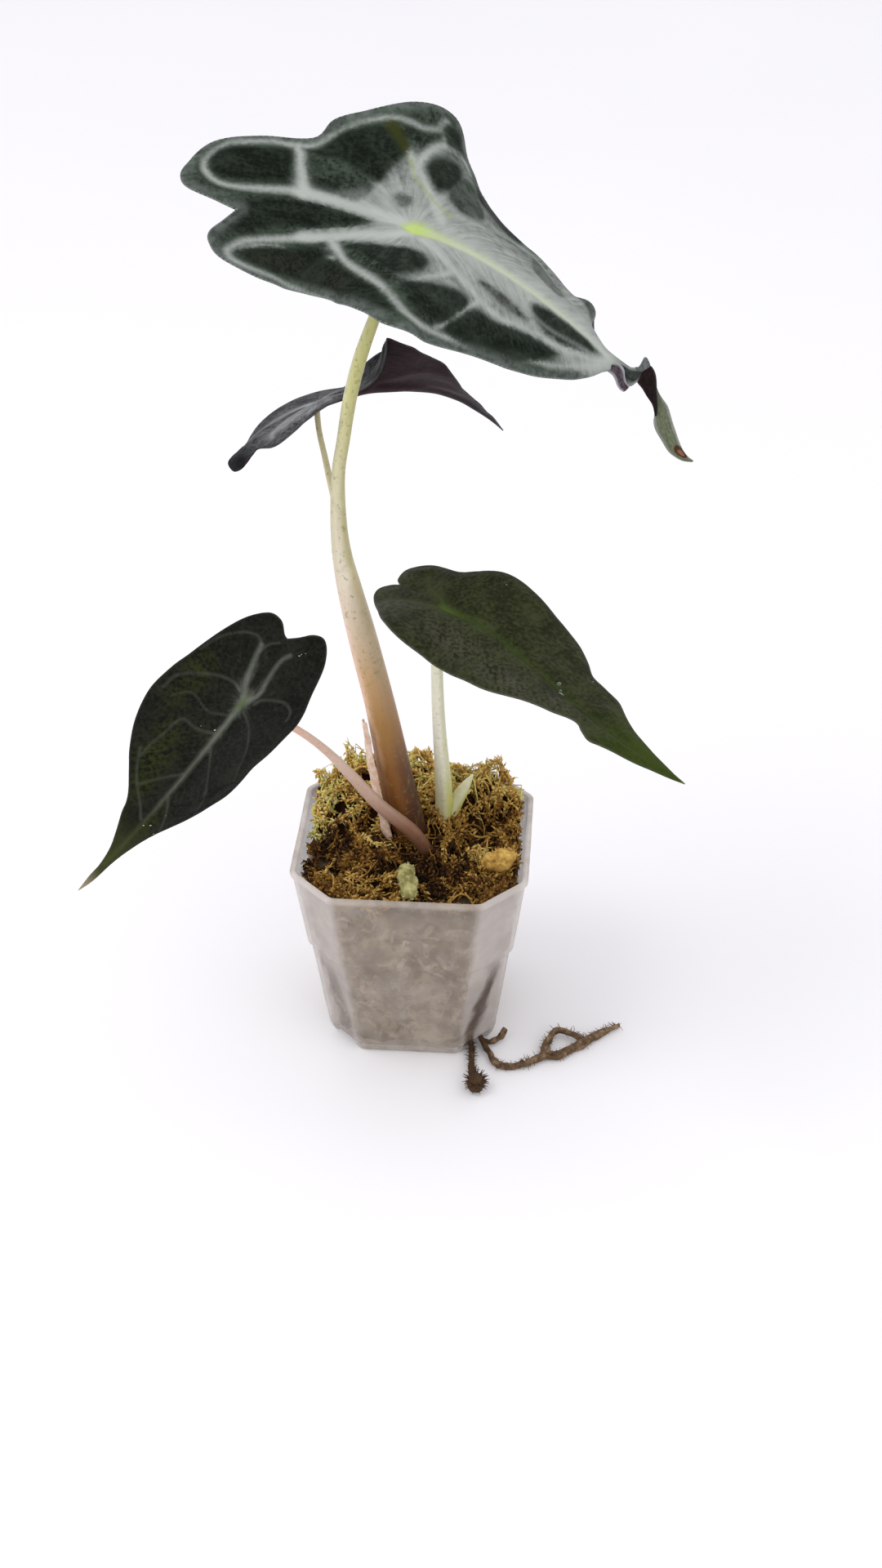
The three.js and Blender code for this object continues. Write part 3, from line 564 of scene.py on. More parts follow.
BACK_LEAF = {
    "stations": [
        [-28, -43.4, -3, 156.8, -29, -20, 0, -11, 0],
        [-20, -38.1, 2.9, 159.8, -29, -20, 0, -11, 0],
        [-10, -31, 9.7, 162.5, -21, -4, 0, 2, 0],
        [0, -22.6, 14.4, 165.5, -20, -2, 0, 7, 0],
        [9.5, -13.9, 18.6, 167.1, -20, -4, 0, 10, 0.4],
        [13, -10.8, 20.2, 167.1, -18, -1, 0, 34, 1.2],
        [17, -7.2, 21.6, 166.8, -12, 11, 0, 29, 1.8],
        [23, -2, 24.8, 165.6, 5, 20, 0, 41, 1.7],
        [34, 5, 32, 161.4, 13, 15, 0, 29, 0.5],
        [46, 11.4, 39.8, 154.6, 14, 10, 0, 23, 0],
        [61, 18.8, 49, 143.6, 8, 9, 0, 20, 0],
    ],
    "left": [
        [-18.5, 0], [-20.6, 1.2], [-22, 3.4], [-20.8, 7], [-18, 9.8], [-13, 12.2], [-4, 14], [4.5, 14.6],
        [9, 14.8], [13.5, 15.9], [21.5, 12.5], [32.5, 8], [44, 5], [53, 2], [61, 0],
    ],
    "right": [
        [-18.5, 0], [-21, 0.5], [-24, 0.7], [-26.2, 1.7], [-27.7, 4.5], [-28.8, 8], [-28.4, 9.8],
        [-27.2, 10.1], [-25.2, 8.6], [-22.7, 7.4], [-21, 7.5], [-20.4, 9.5], [-20, 12], [-18.6, 13.9],
        [-14, 14.6], [-8, 15], [0, 14.8], [6, 14.8], [10.5, 16.4], [13.2, 17.9], [15.2, 18.2],
        [17.6, 17.2], [20, 15.2], [23, 12.8], [32.5, 7.4], [44, 4.3], [53, 1.8], [61, 0],
    ],
    "vein": [
        (0.7, 0.4, [[0, 0.5], [-5, 2.4], [-11, 4.5], [-16, 6.6], [-18.5, 9]]),
        (0.7, 0.4, [[0, -0.5], [-5, -2.4], [-11, -4.5], [-16, -6.6], [-17.5, -9]]),
        (0.5, 0.3, [[1, 0.5], [5, 5], [9, 9.5], [14, 12]]),
        (0.5, 0.3, [[1, -0.5], [5, -5], [8, -9.5], [12, -13]]),
        (0.4, 0.25, [[12, 0.3], [17, 4], [22, 7.5], [28, 9]]),
        (0.4, 0.25, [[12, -0.3], [17, -4], [21, -7.5], [27, -9]]),
        (0.3, 0.2, [[24, 0.2], [30, 2.8], [36, 5]]),
        (0.3, 0.2, [[24, -0.2], [30, -2.8], [36, -4.5]]),
    ],
    "haze": [(-8, -7, 12, 5, 0.75), (-12, 1, 10, 1.4, 1), (0, 0.6, 9, 1.2, 0.9), (-4, -11, 9, 3, 0.7)],
    "cells": [
        (1.5, [[5, -9], [8, -14], [12, -18.5], [16, -19], [16, -11], [13.5, -6], [9, -5.5]]),
        (1.5, [[11.5, 8], [12, 14], [15, 18], [24, 16.5], [23, 11], [18, 8.5], [14, 7]]),
        (0.3, [
            [-12.3, 4], [-12.3, 12], [-8, 14], [-3.8, 13.8], [0.8, 14.2], [4, 12], [-1.2, 5],
            [-8.3, 6.5],
        ]),
        (1.0, [[-24.8, -5.5], [-25.3, -10], [-29, -11], [-30, -7], [-27.5, -4]]),
        (0.5, [[-21, -2.6], [-18.4, -2.4], [-17.8, -3.4], [-20, -4.2]]),
    ],
    # the near-black spot at the notch is painted shadow of the gap between the lobes; the other darkens the
    # right lobe's tip
    "mottle_and_painted_light": [(-17.6, 1.2, 2, 1.5, 1), (-26.5, -5, 3, 4, 1)],
    "rib_width": [[-2, 0.2], [0, 0.6], [20, 0.5], [61, 0.2]],
    "rows": 180,
    "columns": 34,
    "quilt": 0.35,
}
LEFT_LEAF = {
    "stations": [
        [-18, -22.4, -46.5, 139.4, -42, -10, 0, -12, 0],
        [-8, -27, -53.9, 134.4, -59, -19, 0, -12, 0],
        [0, -31, -59.3, 130.1, -70, -24, 0, -12, 0],
        [12, -38, -65.3, 122.4, -73, -28, 0, -15, 0],
        [26, -46.7, -70.4, 112.7, -69, -24, 0, -14, 0],
        [40, -55.9, -74, 102.7, -60, -17, 0, -10, 0],
        [55, -66.1, -77.8, 92.4, -49, -10, 0, -9, 0],
    ],
    "left": [
        [-17, 0], [-18.6, 1.8], [-21, 4.3], [-21.2, 7], [-17.7, 9.6], [-11, 12], [-3.8, 15.6],
        [4.9, 16.8], [11.5, 16.3], [18.6, 14.8], [25, 11], [31.6, 6.3], [36, 3.7], [40.4, 2],
        [44.1, 1.2], [50.9, 0.8], [55, 0],
    ],
    "right": [
        [-17, 0], [-17.6, 1], [-20.1, 3.4], [-20.5, 6.7], [-17.3, 9.9], [-11.5, 12.3], [-1.7, 15.2],
        [3.5, 16.7], [9.8, 17.4], [16.7, 15.8], [22.6, 12.8], [26.3, 10.1], [30, 7.2], [32.5, 5.8],
        [35, 5], [39, 3.2], [42.9, 1.6], [47.2, 0.7], [51, 0.5], [55, 0],
    ],
    "vein": [
        (0.45, 0.25, [[-1, -0.8], [-4.4, -2.3], [-7.6, -3.1], [-10.7, -3.6], [-12.8, -3.9]]),
        (0.4, 0.2, [[-0.6, 0.8], [-4.1, 2], [-6.6, 1.5], [-9.8, 1.3], [-12.6, 1.6], [-14.4, 2.5]]),
    ],
    "faint": [
        (0.2, 0.12, [[-12.8, -3.9], [-14, -5.2], [-13.9, -7], [-12.8, -9], [-9.1, -12], [-3.7, -14]]),
        (0.15, 0.1, [[-11.3, -3.4], [-13.8, -2.5], [-15.2, -0.9]]),
        (0.25, 0.15, [
            [-1.6, -2.3], [-2.1, -4.4], [-1.5, -7.2], [0.2, -10.3], [3.8, -14.6], [7.6, -15.5],
        ]),
        (0.22, 0.15, [[-1.2, 2.5], [-3.2, 3.6], [-5.6, 7], [-6.3, 9], [-5.7, 11.3], [-3.9, 12.3]]),
        (0.2, 0.1, [[1.6, 1.7], [3.2, 5.3], [5.7, 8.3], [9.4, 11], [15.8, 13.3]]),
        (0.18, 0.1, [
            [9, -1], [10.4, -4.5], [10.4, -7.9], [12.4, -8.8], [15.6, -9.2], [18.9, -9.9], [22.5, -9.9],
        ]),
        (0.18, 0.1, [[21, -11.1], [25.1, -8.8], [27.9, -6.5], [31, -3.1], [33.5, -1]]),
        (0.18, 0.1, [[12, 0.8], [17, 5], [22, 8.5], [27, 9.5]]),
        (0.15, 0.1, [[20, -0.8], [24, -4], [27.9, -6.5]]),
        (0.12, 0.08, [[4, -0.8], [6, -5], [5, -10], [8, -13]]),
        (0.12, 0.08, [[26, 0.6], [30, 3], [34, 4.6]]),
    ],
    "haze": [
        (0, 0, 4, 1.8, 0.8), (-5, -2.3, 6, 1.3, 0.5), (-5, 1.6, 5, 1, 0.4), (9, 0, 8, 1.2, 0.5),
        (22, 0, 9, 0.8, 0.35),
    ],
    "mottle_and_painted_light": [
        (1, -12, 5, 3.5, 0.7), (7, -12.5, 4, 3, 0.5), (15, -8.5, 4, 3, 0.7), (21, -7.5, 5, 3.5, 0.95),
        (27, -6, 5, 2.5, 0.7), (24, 12.5, 4, 1.2, 0.7), (33, 1.5, 6, 1.5, 0.6), (10, -4, 3, 3, 0.3),
    ],
    # edge of a wet film
    "film": [(1.4, 1.0, [[27.5, 4.5], [25.5, 8], [22, 10.5], [18.5, 12.5], [17, 14.5]])],
    # pale flecks: place, length, turn
    "flecks": [
        (34.5, 0.6, 0.5, 20), (33.5, 1.4, 0.6, 70), (34.9, 3.7, 0.35, 10), (30, 2.8, 0.3, 50),
        (9.4, -4.2, 0.3, 0), (8.6, -1.4, 0.6, 60), (-15.2, 4, 0.5, 30), (-16, 4.3, 0.35, 80),
        (-16.7, 4.9, 0.3, 10),
    ],
    "rib_width": [[-1.5, 0.1], [0, 0.5], [4, 0.4], [18, 0.25], [30, 0.15], [42, 0.1], [55, 0.1]],
    "rows": 220,
    "columns": 44,
    "quilt": 0.25,
}
RIGHT_LEAF = {
    "stations": [
        [-20, -4.9, -5.5, 130.7, 14, -3, 0, -8, 0],
        [-10, 1.9, -12.8, 131.5, 6, 6, 0, 4, 0],
        [0, 9, -19.8, 131.9, 4, 7, 0, 6, 0],
        [12, 18.9, -26.5, 130.7, 7, 1, 0, -2, 0],
        [26, 29.1, -35.5, 127.5, 0, -1, 0, 0, 0],
        [40, 38.9, -44.9, 123.9, -4, 4, 0, 6, 0],
        [55, 49.7, -54.9, 121.1, -3, 0, 0, 2, 0],
        [71, 62.8, -62.1, 115.5, 1, -17, 0, -17, 0],
    ],
    "left": [
        [-16, 0], [-18.2, 1.3], [-19.6, 5.4], [-15.1, 9.6], [-8, 11.2], [-4.6, 13.6], [-1.1, 15.9],
        [4.7, 17.4], [8.8, 17.4], [12.7, 16.4], [18.1, 15.4], [25.4, 14.7], [31.5, 12.3], [35.9, 9.8],
        [40.6, 9.2], [45.1, 8.6], [51.5, 5.6], [61.5, 2.5], [67, 1], [71, 0],
    ],
    "right": [
        [-16, 0], [-18, 1.2], [-20, 3], [-19.6, 5], [-16.8, 7.2], [-10, 11.2], [-3.6, 14.8], [1.7, 17],
        [7, 16.9], [12, 16.3], [19, 15.8], [25.1, 15.2], [30, 13.2], [34.3, 10.9], [40, 7.7],
        [45.3, 5.2], [48.3, 6.4], [51, 7.3], [53, 6.2], [56, 4.6], [60.5, 3.1], [65.7, 1.5], [71, 0],
    ],
    "vein": [
        (0.2, 0.1, [[-0.4, 0.6], [-4, 2], [-8.1, 3], [-12, 5.4]]),
        (0.2, 0.1, [[-0.4, -0.6], [-4, -2.4], [-8.1, -4], [-12, -6]]),
    ],
    "faint": [
        (0.18, 0.1, [[3.3, 1.3], [4.3, 4.6], [4, 8.7], [4.9, 12.3], [6.7, 14.6]]),
        (0.18, 0.1, [[8.1, 1.6], [10.6, 5.5], [15.3, 11.8]]),
        (0.18, 0.1, [[-0.1, -1.7], [-0.6, -4.6], [0.1, -8.9], [2, -12.3]]),
        (0.15, 0.1, [[10, -0.6], [13, -5], [18, -9.5], [25, -12]]),
        (0.15, 0.1, [[22, -0.6], [26, -4], [31, -7.5], [36, -8.5]]),
        (0.15, 0.1, [[22, 0.8], [26, 5], [31, 9]]),
        (0.15, 0.1, [[34, 0.6], [38, 3.5], [44, 6.4]]),
        (0.15, 0.1, [[38, -0.6], [44, -3], [50, -4.6]]),
    ],
    "haze": [
        # the first spot is a painted sheen on the far half; the others are the paler green along the midrib
        (14, 12, 10, 4, 0.25), (1, 0, 4, 2, 0.9), (8, 0, 8, 2.2, 0.75), (20, 0, 10, 2, 0.6),
        (34, 0, 10, 1.8, 0.5), (50, 0, 10, 2, 0.5), (60, 1, 8, 3, 0.6),
    ],
    # the grey spots on the right half are a painted sheen
    "mottle_and_painted_light": [(10, -9, 10, 5, 0.7), (26, -9, 10, 4, 0.7), (38, -6, 7, 3, 0.5)],
    "flecks": [(37.1, 8.1, 0.35, 40), (7.1, 14, 0.4, 10), (6.4, 14.3, 0.25, 60)],
    # water drops: place and radius
    "drops": [(33.8, 1.1, 0.5), (36.4, -0.9, 0.65), (35.2, 0.3, 0.3)],
    "rib_width": [[-1.5, 0.2], [0, 0.5], [6, 0.35], [30, 0.3], [55, 0.3], [71, 0.3]],
    "rows": 220,
    "columns": 44,
    "quilt": 0.25,
}
LEAVES = {"top": TOP_LEAF, "back": BACK_LEAF, "left": LEFT_LEAF, "right": RIGHT_LEAF}


# Curled tail of the top leaf: front and back material, how far the sheet bulges, and rows of both its edges
TAIL_THICKNESS = 0.45
TAIL_FRONT = np.array([0.06, -0.82, 0.57])
TAIL = [
    (5, 4, 0.12, [
        [53.7, 1.6, 177.2, 53.8, 2, 177.6], [54, 1.3, 174.9, 54.6, 1.8, 176],
        [54, 0.9, 172.7, 55.5, 1.6, 174.7], [54, 0.6, 171, 56.7, 1.4, 173.1],
        [53.9, 0.5, 170, 57.4, 1.2, 171.3], [54.1, 0.4, 168.7, 58, 1, 169.5],
        [54.7, 0.3, 167.3, 58.8, 0.8, 167.4], [55.9, 0.2, 165.4, 59.7, 0.6, 165.1],
        [57.5, 0.1, 162.9, 60.6, 0.4, 163.2], [59.1, 0, 161.6, 61.6, 0.3, 161.8],
        [60.9, 0, 160.7, 62.5, 0.2, 161], [63, 0, 160.5, 63.2, 0, 160.6],
    ]),
    (4, 5, 0.18, [
        [50.6, 0.3, 181, 52.1, 0.5, 183.1], [50.1, 0, 179.9, 52.9, 0.2, 182.5],
        [49.9, -0.4, 179.3, 53.5, -0.2, 181.5], [50.8, -0.6, 178.3, 53.8, -0.3, 180.2],
        [51.5, -0.6, 177.2, 54, -0.3, 178.3], [52.1, -0.6, 176.2, 54.1, -0.2, 176.7],
        [53.2, -0.5, 174.5, 54.3, 0, 175], [53.7, -0.4, 173, 54.4, 0.2, 173.2],
        [54.1, -0.2, 171.3, 54.3, 0, 171.4],
    ]),
    (7, 6, 0.15, [
        [49.2, 0.8, 182.2, 49.8, 0.6, 181.8], [50, 0.8, 182.4, 50.6, 0.4, 181.3],
        [50.5, 0.7, 183.2, 51.1, 0.1, 181], [50.9, 0.6, 184.2, 51.7, 0, 181.9],
        [51.2, 0.5, 184.8, 52, 0.1, 182.6], [51.7, 0.5, 184.2, 52.2, 0.2, 183],
        [52.1, 0.4, 183.4, 52.2, 0.3, 183.2],
    ]),
    (8, 7, 0.2, [
        [45.6, 1.4, 182.7, 45.8, 1.2, 182.2], [46.8, 1.4, 182.4, 47, 0.5, 180.6],
        [48, 1.4, 181.9, 47.3, -0.2, 179.2], [49.3, 1.3, 181.8, 48.3, -0.6, 178.5],
        [50.3, 1.2, 181.8, 49.4, -0.5, 179.3], [51, 1.1, 181.8, 50.4, -0.1, 180.4],
        [51.2, 1, 181.4, 51, 0.3, 181.1],
    ]),
    (8, 7, 0.1, [
        [42.6, 1.2, 181.4, 43.6, 1.9, 182.4], [44.3, 0.2, 180.6, 45.5, 1.2, 182.8],
        [45, -0.6, 179.8, 46.7, 0.3, 182], [45.4, -1.2, 178.9, 47, -0.5, 180.4],
        [46, -1.5, 178.1, 47.4, -1, 179.4], [46.6, -1.6, 177.7, 48, -1.1, 178.7],
        [46.9, -1.6, 177.6, 47.1, -1.6, 177.7],
    ]),
]
# Pale flecks where the tail begins: place, direction, length and width
TAIL_FLECKS = [([51.3, 0, 182.7], [0.6, 0, 0.8], 0.5, 0.3), ([51.6, 0, 182], [0.9, 0, 0.4], 0.35, 0.2)]
# Materials of the tail: name, dark, middle and rim colour, how wide the rim is, and a brown spot
TAIL_SHEETS = [
    ("shaded", (16, 9, 9), (38, 25, 25), (70, 54, 56), 0.12, False),
    ("green", (84, 92, 74), (114, 120, 94), (150, 153, 146), 0.22, True),
    ("silver", (70, 76, 74), (116, 121, 119), (150, 156, 154), 0.15, False),
    ("scoop", (32, 37, 34), (60, 66, 62), (150, 155, 152), 0.3, False),
    ("flap", (40, 33, 37), (92, 82, 89), (172, 170, 175), 0.3, False),
]


def bend(leaf, place, across):
    """Places in space of points of the flat leaf"""
    stations = np.asarray(leaf["stations"], float)
    x, y, z, roll, left_fold, left_curl, right_fold, right_curl = along(stations, place).T
    heading = stations[-1, 1:4] - stations[0, 1:4]
    ahead = unit(along(stations, place + 0.5)[:, :3] - along(stations, place - 0.5)[:, :3])
    level = np.array([-heading[1], heading[0], 0])[None, :]
    level = unit(level - ahead * (ahead @ level[0])[:, None])
    above = np.cross(ahead, level)
    turn = np.radians(roll)[:, None]
    side = level * np.cos(turn) + above * np.sin(turn)
    up = above * np.cos(turn) - level * np.sin(turn)
    fold = np.radians(np.where(across < 0, right_fold, left_fold))
    curl = np.where(across < 0, right_curl, left_curl) / 100
    reach = np.abs(across)
    steps = 4
    out = np.zeros_like(reach)
    rise = np.zeros_like(reach)
    for step in range(steps):
        angle = fold + curl * reach * (step + 0.5) / steps
        out += np.cos(angle) * reach / steps
        rise += np.sin(angle) * reach / steps
    start = np.column_stack([x, y, z])
    return start + side * (np.sign(across) * out)[:, None] + up * rise[:, None]


def outline_rows(half, rows):
    """Places spread evenly along a smooth outline of one half"""
    fine = 4000
    points = along(np.column_stack([np.arange(len(half)), half]), np.linspace(0, len(half) - 1, fine + 1))
    lengths = np.concatenate([[0], np.cumsum(np.linalg.norm(np.diff(points, axis=0), axis=1))])
    wanted = np.linspace(0, lengths[-1], rows + 1)
    return np.column_stack([np.interp(wanted, lengths, points[:, axis]) for axis in (0, 1)])


def gap_to(flat, places, widths=0.0):
    """Distance from each flat point to the nearest place, less the half width there"""
    widths = np.broadcast_to(widths, len(places))
    nearest = np.full(len(flat), FAR)
    for start in range(0, len(places), CHUNK):
        part = slice(start, start + CHUNK)
        gaps = np.linalg.norm(flat[:, None, :] - places[None, part, :], axis=2) - widths[part]
        nearest = np.minimum(nearest, gaps.min(axis=1))
    return nearest


def line_distance(flat, lines):
    """Distance from each flat point to the nearest edge of the lines, below zero inside them"""
    nearest = np.full(len(flat), FAR)
    for start, end, places in lines:
        curve = through(places, 8)
        nearest = np.minimum(nearest, gap_to(flat, curve, np.linspace(start, end, len(curve))))
    return nearest


def edge_distance(flat, spec):
    """Distance from each flat point to the leaf's outline"""
    steps = 160
    left = outline_rows(spec["left"], steps)
    right = outline_rows(spec["right"], steps) * [1, -1]
    return np.minimum(gap_to(flat, left), gap_to(flat, right))


def rib_distance(flat, widths):
    """Distance from each flat point to the edge of the midrib, below zero inside it"""
    first, last = widths[0][0], widths[-1][0]
    width = along(widths, np.clip(flat[:, 0], first, last))[:, 0]
    return np.hypot(flat[:, 1], np.maximum(first - flat[:, 0], 0)) - width


def depth_inside(flat, outline):
    """How deep each flat point lies inside a smooth closed outline, below zero outside it"""
    steps = 8
    curve = through(outline[-1:] + outline + outline[:2], steps)[steps:-steps]
    depth = np.full(len(flat), FAR)
    inside = np.zeros(len(flat), bool)
    place, across = flat.T
    for (x1, y1), (x2, y2) in zip(curve[:-1], curve[1:]):
        depth = np.minimum(depth, np.hypot(place - x1, across - y1))
        if y1 != y2:
            crossing = (x2 - x1) * (across - y1) / (y2 - y1) + x1
            inside ^= ((y1 > across) != (y2 > across)) & (place < crossing)
    return np.where(inside, depth, -depth)


def cell_depth(flat, cells):
    """How firmly each flat point lies in one of the dark cells"""
    depth = np.full(len(flat), -FAR)
    for most, outline in cells:
        depth = np.maximum(depth, np.minimum(depth_inside(flat, outline), most))
    return depth


def blobs(flat, spots):
    """Strongest of soft spots, each a place, its reach along and across and its strength"""
    total = np.zeros(len(flat))
    for place, across, reach, spread, strength in spots:
        gap = ((flat[:, 0] - place) / reach) ** 2 + ((flat[:, 1] - across) / spread) ** 2
        total = np.maximum(total, strength * np.exp(-gap))
    return total


def haze_share(flat, spec):
    """Share of silver haze: soft spots, and the wide glow where the leaf has one"""
    haze = blobs(flat, spec["haze"])
    if "glow" not in spec:
        return haze
    level = 0.95 - 0.42 * smoothstep(np.abs(flat[:, 1]), 3, 17)
    return np.maximum(haze, level * smoothstep(depth_inside(flat, spec["glow"]), -2.2, 2.2))


def grain_of(flat):
    """Coordinates along the side veins: which vein a point lies on, and how far out on it"""
    place, across = flat[:, 0], np.abs(flat[:, 1])
    turn = np.arctan2(across, place)
    limit = math.atan2(1, VEIN_LEAN)
    behind = turn > limit
    lane = np.where(behind, (limit - turn) * LANES, place - VEIN_LEAN * across)
    out = np.where(behind, np.hypot(place, across), across * math.hypot(1, VEIN_LEAN))
    return np.column_stack([lane, out * GRAIN_LENGTH, np.sign(flat[:, 1]) * HALVES_APART])


def leaf_grid(spec):
    """Points of the flat leaf, its faces, and the steps along its outline with the hand of their half"""
    rows, columns = spec["rows"], spec["columns"]
    starts = np.linspace(spec["left"][0][0], spec["left"][-1][0], rows + 1)
    shares = np.arange(1, columns + 1) / columns
    flat = [np.column_stack([starts, np.zeros(rows + 1)])]
    faces, rim_steps = [], []
    count = rows + 1
    for hand, half in ((1, "left"), (-1, "right")):
        rim = outline_rows(spec[half], rows)[1:rows]
        middle = starts[1:rows]
        place = middle[:, None] + (rim[:, 0] - middle)[:, None] * shares
        across = hand * rim[:, 1][:, None] * shares
        flat.append(np.column_stack([place.ravel(), across.ravel()]))
        grid = np.empty((rows + 1, columns + 1), int)
        grid[:, 0] = np.arange(rows + 1)
        grid[0, :] = 0
        grid[rows, :] = rows
        grid[1:rows, 1:] = count + np.arange((rows - 1) * columns).reshape(rows - 1, columns)
        count += (rows - 1) * columns
        for row in range(rows):
            here, ahead = grid[row].tolist(), grid[row + 1].tolist()
            for column in range(columns):
                face = [here[column], ahead[column], ahead[column + 1], here[column + 1]]
                face = [corner for i, corner in enumerate(face) if corner != face[i - 1]]
                if len(set(face)) > 2:
                    faces.append(face if hand > 0 else face[::-1])
            rim_steps.append((here[columns], ahead[columns], hand))
    return np.vstack(flat), faces, rim_steps


def leaf_values(spec, flat):
    """What the materials know at each point: distances to lines, haze, cells, spots and coordinates"""
    values = {name: line_distance(flat, spec.get(name, [])) for name in ("vein", "faint", "gold", "olive")}
    values["film"] = line_distance(flat, spec.get("film", []))
    values["rib"] = rib_distance(flat, spec["rib_width"])
    values["edge"] = edge_distance(flat, spec)
    values["haze"] = haze_share(flat, spec)
    values["cell"] = cell_depth(flat, spec.get("cells", []))
    values["mottle_and_painted_light"] = blobs(flat, spec["mottle_and_painted_light"])
    values["flat"] = np.column_stack([flat, np.zeros(len(flat))])
    values["grain"] = grain_of(flat)
    return values


def leaf_relief(spec, flat, faces, values):
    """Bent leaf whose cells stand a little proud of the veins, with a groove along the midrib"""
    rib, edge = values["rib"], values["edge"]
    points = bend(spec, flat[:, 0], flat[:, 1])
    nearest = np.minimum(np.minimum(values["vein"], rib), values["faint"] + 0.6)
    quilt = spec["quilt"] * (1 - np.exp(-(np.maximum(nearest, 0) / 2.2) ** 2)) * smoothstep(edge, 0, 3)
    groove = GROOVE_DEPTH * np.exp(-((np.maximum(rib, 0)) / 0.8) ** 2) * smoothstep(edge, 0, 5)
    ruffle = RUFFLE_DEPTH * noise_at(values["flat"], 0.16, 3) * np.exp(-edge / 4)
    return points + normals_of(points, faces) * (quilt - groove + ruffle)[:, None]


def keel_depth(flat, edge, last):
    """How far the midrib stands out below, from the stem's end to the tip"""
    place, across = flat.T
    depth = MIDRIB_DEPTH * np.exp(-(across / 0.9) ** 2) * smoothstep(place, -3, 0)
    return depth * (1 - 0.8 * smoothstep(place, 0, last)) * smoothstep(edge, 0, 2)


def leaf(name, materials):
    """Blade with veins as relief, laid out flat, bent along its stations and given a thickness"""
    spec = LEAVES[name]
    flat, faces, rim_steps = leaf_grid(spec)
    values = leaf_values(spec, flat)
    edge = values["edge"]
    points = leaf_relief(spec, flat, faces, values)
    normals = normals_of(points, faces)
    half = BLADE_THICKNESS / 2 * (0.5 + 0.5 * smoothstep(edge, 0, 2.5))
    below = half + keel_depth(flat, edge, spec["left"][-1][0])
    surface = points + normals * half[:, None]
    build = Build()
    build.add(surface, faces, 0, **values)
    build.add(points - normals * below[:, None], [face[::-1] for face in faces], 1, **values)
    total = len(points)
    for a, b, hand in rim_steps:
        wall = [a, a + total, b + total, b]
        build.faces.append(wall if hand > 0 else wall[::-1])
        build.slots.append(0)
    lay_on(build, spec, flat, surface, normals)
    if name == "top":
        leaf_tail(build)
    made = build.object("leaf_" + name, materials)
    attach(made, "root")
    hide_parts("blade_" + name)


def shell(build, grid, thickness, front, back, flip=False, **values):
    """Thin closed sheet over a grid of points, with one material on its front and one on its back"""
    rows, columns = grid.shape[:2]
    points = grid.reshape(-1, 3)
    total = len(points)
    faces = grid_faces(rows, columns)
    loop = list(range(columns))
    loop += [row * columns + columns - 1 for row in range(1, rows)]
    loop += list(range(total - 2, total - columns - 1, -1))
    loop += [row * columns for row in range(rows - 2, 0, -1)]
    if flip:
        faces = turned(faces)
        loop = loop[::-1]
    normals = normals_of(points, faces)
    build.add(points + normals * thickness / 2, faces, front, **values)
    build.add(points - normals * thickness / 2, [face[::-1] for face in faces], back, **values)
    first = build.count - 2 * total
    for a, b in zip(loop, loop[1:] + loop[:1]):
        build.faces.append([first + a, first + b, first + b + total, first + a + total])
        build.slots.append(front)


def leaf_tail(build):
    """The curled end of the top leaf, made of sheets that pass behind each other"""
    columns = np.linspace(0, 1, 13)
    for number, (front, back, bulge, rows) in enumerate(TAIL):
        rows = through(rows, 6)
        left, right = rows[:, None, :3], rows[:, None, 3:]
        width = np.linalg.norm(right - left, axis=2, keepdims=True)
        share = columns[None, :, None]
        grid = left + (right - left) * share + TAIL_FRONT * (4 * bulge * share * (1 - share) * width)
        count = len(rows)
        down = np.repeat(np.linspace(0, 1, count), len(columns))
        out = np.tile(columns, count)
        flat = np.column_stack([down * count * 0.25, out * width.max(), np.full(len(down), number * 9.0)])
        shell(build, grid, TAIL_THICKNESS, front, back, down=down, out=out, flat=flat)
    for place, ahead, length, width in TAIL_FLECKS:
        leaflets(build, [place], [ahead], [[0, -0.8, 0.6]], [length], [width], 2)


def tail_sheet(name, dark, middle, rim, rim_width, spot):
    """Material of one side of the tail, streaked and with a paler rim"""
    g = Graph("tail_" + name)
    flat, down, out = g.attribute("flat", "Vector"), g.attribute("down"), g.attribute("out")
    fine = g.noise(1.6, flat, 5)
    streak = g.noise(1.0, g.stretch(flat, (0.5, 2.6, 1)), 4)
    patch = g.add(g.times(fine, 0.5), g.times(streak, 0.5))
    color = g.mix(g.fade(patch, 0.35, 0.65), dark, middle)
    share = g.add(out, g.around(fine, 0.12))
    near = g.math("MINIMUM", share, g.less(1.0, share))
    color = g.mix(g.fade(near, rim_width, 0.02, 0, 0.85), color, rim)
    if spot:
        color = g.mix(g.fade(down, 0.0, 0.3, 0.5, 0), color, (84, 94, 82))
        squares = [g.math("POWER", g.times(g.less(way, at), gain), 2.0)
                   for way, at, gain in ((down, 0.775, 7.5), (out, 0.7, 2.2))]
        gap = g.add(g.math("SQRT", g.add(*squares)), g.around(fine, 0.5))
        color = g.mix(g.fade(gap, 0.85, 0.6), color, (74, 46, 30))
        color = g.mix(g.fade(gap, 0.5, 0.25), color, (128, 96, 72))
    return g.finish(color, 0.55, g.bump(streak, 0.3, 0.0002), {"Specular IOR Level": 0.08})


def lay_on(build, spec, flat, surface, normals):
    """Pale flecks and water drops that sit on the leaf"""
    for place, across, length, turn in spec.get("flecks", []):
        nearest = np.argmin(np.hypot(flat[:, 0] - place, flat[:, 1] - across))
        up = normals[nearest]
        ahead = direction(math.radians(turn))
        ahead = unit(ahead - up * (ahead @ up))
        leaflets(build, [surface[nearest]], [ahead], [up], [length], [length * 0.5], 2)
    for place, across, radius in spec.get("drops", []):
        nearest = np.argmin(np.hypot(flat[:, 0] - place, flat[:, 1] - across))
        heights = np.array([-0.3, 0.05, 0.25, 0.38, 0.45]) * radius
        widths = np.array([0.9, 1, 0.85, 0.5, 0.12]) * radius
        build.tube(surface[nearest] + normals[nearest] * heights[:, None], widths, 14, 3)


